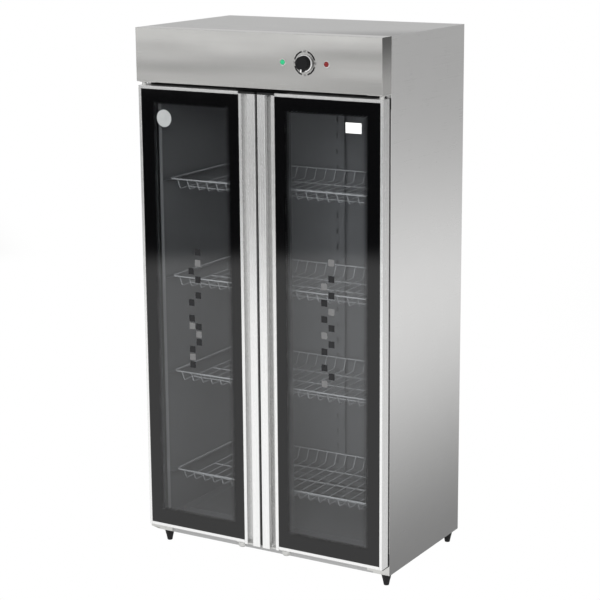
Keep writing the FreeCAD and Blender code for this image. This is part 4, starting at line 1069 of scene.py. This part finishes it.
def print_squares(side, front, sizes):
    """Two staggered columns of squares on the front of a pane."""
    marks = PANE_SQUARES[side]
    half = sizes.square / 2
    for shade, finish in (("dark", "glass_ink"), ("pale", "glass_ink_pale")):
        shape = bmesh.new()
        for column, rows in zip(marks["columns"], marks[shade]):
            middle = column * sign_of(side)
            for row in rows:
                height = marks["foot"] + row * sizes.square_pitch
                add_block(shape, (middle - half, front - sizes.film, height - half),
                          (middle + half, front, height + half))
        add_piece(f"{side}_{shade}_squares", outward(shape), f"{side}_door", finish)


def stick_films(film):
    """Round film on the left pane and a rectangular one on the right."""
    shape = bmesh.new()
    disc = [(0, 0), (ROUND_FILM_RADIUS, 0), (ROUND_FILM_RADIUS, film), (0, film)]
    add_turned(shape, disc, (ROUND_FILM_X, PANE_FRONT, ROUND_FILM_Z), "-y", steps=40)
    add_piece("round_film", outward(shape), "left_door", "label_film_grey")
    shape = bmesh.new()
    (left, right), (foot, head) = SQUARE_FILM_X, SQUARE_FILM_Z
    add_block(shape, (left, PANE_FRONT - film, foot), (right, PANE_FRONT, head))
    add_piece("square_film", outward(shape), "right_door", "label_film")


class BuildPanes(bpy.types.Operator):
    """Builds the smoked panes with their printed border, squares and films."""

    bl_idname = "cabinet.build_panes"
    bl_label = "Panes"

    def execute(self, context):
        sizes = context.scene.cabinet_sizes
        for side in SIDES:
            low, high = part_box(f"{side}_glass")
            shape = bmesh.new()
            add_block(shape, low, high)
            pane = add_piece(f"{side}_pane", outward(shape), f"{side}_door",
                             "door_pane", [f"{side}_glass"])
            soften(pane, sizes.edge)
            print_squares(side, low.y, sizes)
        stick_films(sizes.film)
        return {"FINISHED"}


class BuildGaskets(bpy.types.Operator):
    """Builds the bellows gaskets on the backs of the doors."""

    bl_idname = "cabinet.build_gaskets"
    bl_label = "Door gaskets"

    def execute(self, _context):
        for side in SIDES:
            low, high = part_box(f"{side}_gasket")
            section = [(inset * MM, low.y + depth * MM) for inset, depth in GASKET_SECTION]
            shape = bmesh.new()
            add_ring_sweep(shape, (low.x, low.z), (high.x, high.z), section)
            made = add_piece(f"{side}_bellows_gasket", outward(shape), f"{side}_door",
                             "grey_rubber", [f"{side}_gasket"])
            smooth(made, angle=50.0)
        return {"FINISHED"}


class BuildRacks(bpy.types.Operator):
    """Builds the four wire racks."""

    bl_idname = "cabinet.build_racks"
    bl_label = "Wire racks"

    def execute(self, context):
        sizes = context.scene.cabinet_sizes
        low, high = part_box("top_rack")
        inset = sizes.rim_inset
        graph = rack_graph({
            "Points": 48, "Crowding": 0.11, "Lead": sizes.wire_lead, "Slope": sizes.wire_slope,
            "Dip": sizes.wire_dip, "Wire": sizes.wire, "Count": sizes.wires,
            "Pitch": sizes.wire_pitch, "Width": high.x - low.x - inset * 2,
            "Depth": high.y - low.y - inset * 2,
            "Corner": sizes.rim_corner, "Rim": inset, "Stringer": sizes.stringer,
            "Stringer Inset": sizes.stringer_inset, "Stringer Drop": sizes.stringer_drop,
        })
        for rack in RACKS:
            low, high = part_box(rack)
            mesh = graph.bake(rack + "_wires")
            mesh.transform(Matrix.Translation((0, low.y + inset, high.z - inset)))
            made = add_piece(rack + "_wires", mesh, rack + "_body", "rack_wire",
                             [rack])
            smooth(made, angle=50.0)
        return {"FINISHED"}


class BuildHeater(bpy.types.Operator):
    """Builds the quartz tubes with their coils, the holders' caps and the guard's finish."""

    bl_idname = "cabinet.build_heater"
    bl_label = "Heater"

    def execute(self, context):
        sizes = context.scene.cabinet_sizes
        low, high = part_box("heater_tubes")
        holder_low, holder_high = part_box("heater_holders")
        radius, reach = sizes.tube, high.x - low.x
        middle = (low.y + high.y) / 2
        graph = coil_graph({
            "Turns": sizes.coil_turns, "Radius": radius * COIL_SHARE, "Wire": sizes.coil_wire,
            "Length": (holder_high.x - holder_low.x) - 2 * COIL_INSET,
        })
        tubes, caps, coils = bmesh.new(), bmesh.new(), []
        for height in (low.z + radius, high.z - radius):
            profile = [(0, 0), (radius, 0), (radius, reach), (0, reach)]
            add_turned(tubes, profile, (low.x, middle, height), "x", steps=28)
            for start, axis in ((low.x + CAP_INSET, "x"), (high.x - CAP_INSET, "-x")):
                add_turned(caps, millimetres(HOLDER_CAP), (start, middle, height), axis, steps=28)
            mesh = graph.bake("heating_coil")
            mesh.transform(Matrix.Translation((0, middle, height)))
            coils.append(mesh)
        smooth(add_piece("quartz_tubes", outward(tubes), "cabinet", "quartz",
                         ["heater_tubes"]))
        smooth(add_piece("holder_caps", outward(caps), "cabinet", "ceramic"))
        for name, mesh in zip(("lower_coil", "higher_coil"), coils):
            smooth(add_piece(name, mesh, "cabinet", "heating_coil"), angle=60.0)
        paint(("heater_holders",), "ceramic")
        paint(("heater_guard",), "folded_liner")
        return {"FINISHED"}


class BuildTray(bpy.types.Operator):
    """Builds the drip tray with its rolled rim."""

    bl_idname = "cabinet.build_tray"
    bl_label = "Drip tray"

    def execute(self, _context):
        low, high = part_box("drip_tray")
        section = [(inset * MM, low.z + height * MM) for inset, height in TRAY_SECTION]
        shape = bmesh.new()
        add_ring_sweep(shape, (low.x, low.y), (high.x, high.y), section, flat=True)
        inset, gauge = TRAY_SECTION[0][0] * MM, TRAY_SECTION[-1][1] * MM
        add_block(shape, (low.x + inset, low.y + inset, low.z),
                  (high.x - inset, high.y - inset, low.z + gauge))
        made = add_piece("rolled_tray", outward(shape), "drip_tray_body",
                         "folded_liner", ["drip_tray"])
        smooth(made, angle=50.0)
        return {"FINISHED"}


def add_number(words, spot, height, thick):
    """Plain raised number that faces -Y, centred on a spot."""
    curve = bpy.data.curves.new("number", "FONT")
    curve.body = words
    curve.size = height / DIGIT_SHARE
    curve.extrude = thick / 2
    curve.align_x = "CENTER"
    curve.align_y = "CENTER"
    carrier = bpy.data.objects.new("number", curve)
    bpy.context.scene.collection.objects.link(carrier)
    mesh = plain_mesh(carrier)
    bpy.data.objects.remove(carrier)
    place = Matrix.Translation((spot[0], spot[1] - thick / 2, spot[2]))
    mesh.transform(place @ Matrix.Rotation(math.radians(90), 4, "X"))
    add_piece("number_" + words, mesh, "cabinet", "dial_ink")


def print_scale(sizes):
    """Four arcs and four plain numbers round the knob."""
    shape = bmesh.new()
    half, radius = sizes.scale_line / 2, sizes.scale_radius
    for quarter in range(4):
        start = 90 * quarter + ARC_START
        add_arc_band(shape, (KNOB_X, CONTROL_Z), (radius - half, radius + half),
                     (start, start + ARC_SPAN), (HEADER_FACE - sizes.film, HEADER_FACE))
    add_piece("scale_arcs", outward(shape), "cabinet", "dial_ink")
    for words, turn in SCALE_NUMBERS:
        side, rise = math.sin(math.radians(turn)), math.cos(math.radians(turn))
        spot = (KNOB_X + radius * side, HEADER_FACE, CONTROL_Z + radius * rise)
        add_number(words, spot, sizes.number_height, sizes.film)


class BuildTimer(bpy.types.Operator):
    """Builds the fluted knob with its skirt and mark, and prints the scale on the header."""

    bl_idname = "cabinet.build_timer"
    bl_label = "Timer"

    def execute(self, context):
        sizes = context.scene.cabinet_sizes
        centre = Vector((KNOB_X, RING_LOW.y, CONTROL_Z))
        left, right = KNOB_X - MARK_WIDTH / 2, KNOB_X + MARK_WIDTH / 2
        knob = bmesh.new()
        add_turned(knob, millimetres(KNOB_BASE), centre, "-y", steps=96)
        add_turned(knob, millimetres(KNOB_GRIP), centre, "-y", steps=192,
                   ripple=(sizes.flutes, FLUTE_DEPTH))
        add_turned(knob, millimetres(KNOB_FACE), centre, "-y", steps=64)
        add_block(knob, (left, KNOB_LOW.y + MARK_THICK, KNOB_LOW.z),
                  (right, centre.y, CONTROL_Z - RIDGE_START))
        made = add_piece("fluted_knob", outward(knob), "timer_dial",
                         "black_plastic", ["timer_knob"])
        smooth(made, angle=40.0)
        skirt = bmesh.new()
        add_turned(skirt, millimetres(SKIRT_PROFILE), (KNOB_X, RING_HIGH.y, CONTROL_Z), "-y",
                   steps=96)
        made = add_piece("knob_skirt", outward(skirt), "timer_dial", "chrome_plate",
                         ["knob_ring"])
        smooth(made, angle=40.0)
        mark = bmesh.new()
        add_block(mark, (left, KNOB_LOW.y, KNOB_LOW.z + MARK_END),
                  (right, KNOB_LOW.y + MARK_THICK, CONTROL_Z - MARK_START))
        add_piece("knob_mark", outward(mark), "timer_dial", "white_mark")
        paint(("timer_shaft",), "zinc_plate")
        paint(("timer_body", "terminal_block", "lamp_holders"), "black_plastic")
        print_scale(sizes)
        return {"FINISHED"}


class BuildLamps(bpy.types.Operator):
    """Builds the two domed pilot lamps in chrome bezels."""

    bl_idname = "cabinet.build_lamps"
    bl_label = "Pilot lamps"

    def execute(self, _context):
        bezels = bmesh.new()
        for shade in ("green", "red"):
            node = shade + "_lens"
            middle = centre_of(node)
            spot = (middle.x, HEADER_FACE, middle.z)
            add_turned(bezels, millimetres(BEZEL_PROFILE), spot, "-y", steps=64)
            dome = bmesh.new()
            add_turned(dome, millimetres(LENS_PROFILE), spot, "-y")
            made = add_piece(shade + "_dome", outward(dome), "cabinet", node, [node])
            smooth(made, angle=50.0)
        made = add_piece("turned_bezels", outward(bezels), "cabinet", "chrome_plate",
                         ["lamp_bezels"])
        smooth(made, angle=50.0)
        return {"FINISHED"}


class BuildFeet(bpy.types.Operator):
    """Builds the stepped rubber feet and the doors' round glides."""

    bl_idname = "cabinet.build_feet"
    bl_label = "Feet and glides"

    def execute(self, _context):
        low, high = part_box("feet")
        shape = bmesh.new()
        for x in (low.x + FOOT_RADIUS, high.x - FOOT_RADIUS):
            for y in (low.y + FOOT_RADIUS, high.y - FOOT_RADIUS):
                add_turned(shape, millimetres(FOOT_PROFILE), (x, y, 0))
        smooth(add_piece("rubber_feet", outward(shape), "cabinet", "black_rubber",
                         ["feet"]))
        for side in SIDES:
            node = side + "_glide"
            middle = centre_of(node)
            shape = bmesh.new()
            add_turned(shape, millimetres(GLIDE_PROFILE), (middle.x, middle.y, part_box(node)[0].z))
            made = add_piece(side + "_round_glide", outward(shape), side + "_door",
                             "nylon", [node])
            smooth(made, angle=50.0)
        return {"FINISHED"}


class BuildRear(bpy.types.Operator):
    """Builds the back panel's screws and the cable grommet."""

    bl_idname = "cabinet.build_rear"
    bl_label = "Back fittings"

    def execute(self, context):
        low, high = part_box("back_screws")
        radius = (high.y - low.y) / HEAD_FLATNESS
        graph = screw_graph({
            "Radius": radius, "Flatness": HEAD_FLATNESS, "Slot Length": radius * SLOT_LENGTH,
            "Slot Width": radius * SLOT_WIDTH, "Half Width": high.x - radius,
            "Lowest": low.z + radius, "Highest": high.z - radius,
            "Count": context.scene.cabinet_sizes.screws,
        })
        mesh = graph.bake("panel_screws")
        mesh.transform(Matrix.Translation((0, low.y, 0)))
        smooth(add_piece("panel_screws", mesh, "cabinet", "zinc_plate",
                         ["back_screws"]))
        middle = centre_of("cable_grommet")
        shape = bmesh.new()
        spot = (middle.x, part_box("cable_grommet")[0].y, middle.z)
        add_turned(shape, millimetres(GROMMET_PROFILE), spot, "y")
        made = add_piece("moulded_grommet", outward(shape), "cabinet",
                         "black_rubber", ["cable_grommet"])
        smooth(made, angle=50.0)
        return {"FINISHED"}


class DressHinges(bpy.types.Operator):
    """Finishes the hinge brackets, pins and spacers."""

    bl_idname = "cabinet.dress_hinges"
    bl_label = "Hinges"

    def execute(self, context):
        plates = ("hinge_brackets_top", "hinge_brackets_bottom")
        paint((*plates, "hinge_pins"), "zinc_plate")
        paint(("hinge_spacers",), "black_plastic")
        for plate in plates:
            ease_edges(NODES[plate], context.scene.cabinet_sizes.edge)
        return {"FINISHED"}


def lay_floor(studio):
    """Wide square floor under the cabinet."""
    shape = bmesh.new()
    corners = ((-1, -1), (1, -1), (1, 1), (-1, 1))
    shape.faces.new([shape.verts.new((x * FLOOR_REACH, y * FLOOR_REACH, 0)) for x, y in corners])
    mesh = bpy.data.meshes.new("studio_floor")
    shape.to_mesh(mesh)
    shape.free()
    mesh.materials.append(studio_floor("studio_floor", studio))
    made = bpy.data.objects.new("studio_floor", mesh)
    bpy.context.scene.collection.objects.link(made)


def hang_lamp(name, power, place, size, mirrored=True):
    """Square lamp aimed at the middle of the cabinet; mirrored says if shiny pieces show it."""
    light = bpy.data.lights.new(name, "AREA")
    light.energy = power
    light.size = size
    lamp = bpy.data.objects.new(name, light)
    lamp.location = place
    lamp.visible_glossy = mirrored
    lamp.rotation_euler = (LAMP_AIM - Vector(place)).to_track_quat("-Z", "Y").to_euler()
    bpy.context.scene.collection.objects.link(lamp)


def set_camera(scene, studio):
    """Camera at its distance from the target, rolled about its line of sight."""
    lens = bpy.data.cameras.new("camera")
    lens.sensor_width = SENSOR_MM
    lens.lens = studio.focal_widths * SENSOR_MM
    lens.clip_end = CLIP_END
    camera = bpy.data.objects.new("camera", lens)
    turn, rise = studio.azimuth, studio.elevation
    level = math.cos(rise)
    back = Vector((math.sin(turn) * level, -math.cos(turn) * level, math.sin(rise)))
    aim = (-back).to_track_quat("-Z", "Y").to_matrix().to_4x4()
    place = Matrix.Translation(Vector(studio.target) + back * studio.distance)
    camera.matrix_world = place @ aim @ Matrix.Rotation(studio.roll, 4, "Z")
    scene.collection.objects.link(camera)
    scene.camera = camera


class SetStudio(bpy.types.Operator):
    """Sets the floor, the surroundings, the lamps and the camera."""

    bl_idname = "cabinet.set_studio"
    bl_label = "Studio"

    def execute(self, context):
        scene = context.scene
        studio = scene.cabinet_studio
        lay_floor(studio)
        scene.world = studio_sky("studio_sky", studio)
        hang_lamp("key", studio.key, **KEY_LAMP)
        hang_lamp("fill", studio.fill, **FILL_LAMP)
        set_camera(scene, studio)
        scene.view_settings.view_transform = "Standard"
        return {"FINISHED"}


class CABINET_PT_tasks(bpy.types.Panel):
    """Sidebar panel with every step."""

    bl_label = "Dish sterilizer cabinet"
    bl_idname = "CABINET_PT_tasks"
    bl_space_type = "VIEW_3D"
    bl_region_type = "UI"
    bl_category = "Cabinet"

    def draw(self, _context):
        column = self.layout.column(align=True)
        for task in TASKS:
            column.operator(task.bl_idname)


SETTINGS = {
    "cabinet_look": CabinetLook,
    "cabinet_sizes": CabinetSizes,
    "cabinet_studio": StudioSettings,
}
TASKS = (
    MixFinishes, DressShell, BuildShadowStrip, DressChamber, DressDoorBars, BuildPanes, BuildGaskets,
    BuildRacks, BuildHeater, BuildTray, BuildTimer, BuildLamps, BuildFeet, BuildRear, DressHinges,
    SetStudio,
)


def register():
    for group in SETTINGS.values():
        bpy.utils.register_class(group)
    for task in TASKS:
        bpy.utils.register_class(task)
    bpy.utils.register_class(CABINET_PT_tasks)
    for name, group in SETTINGS.items():
        setattr(bpy.types.Scene, name, bpy.props.PointerProperty(type=group))


def unregister():
    for name in SETTINGS:
        delattr(bpy.types.Scene, name)
    bpy.utils.unregister_class(CABINET_PT_tasks)
    for task in reversed(TASKS):
        bpy.utils.unregister_class(task)
    for group in reversed(SETTINGS.values()):
        bpy.utils.unregister_class(group)


def main():
    register()
    for task in TASKS:
        family, step = task.bl_idname.split(".")
        getattr(getattr(bpy.ops, family), step)()


if __name__ == "__main__":
    main()
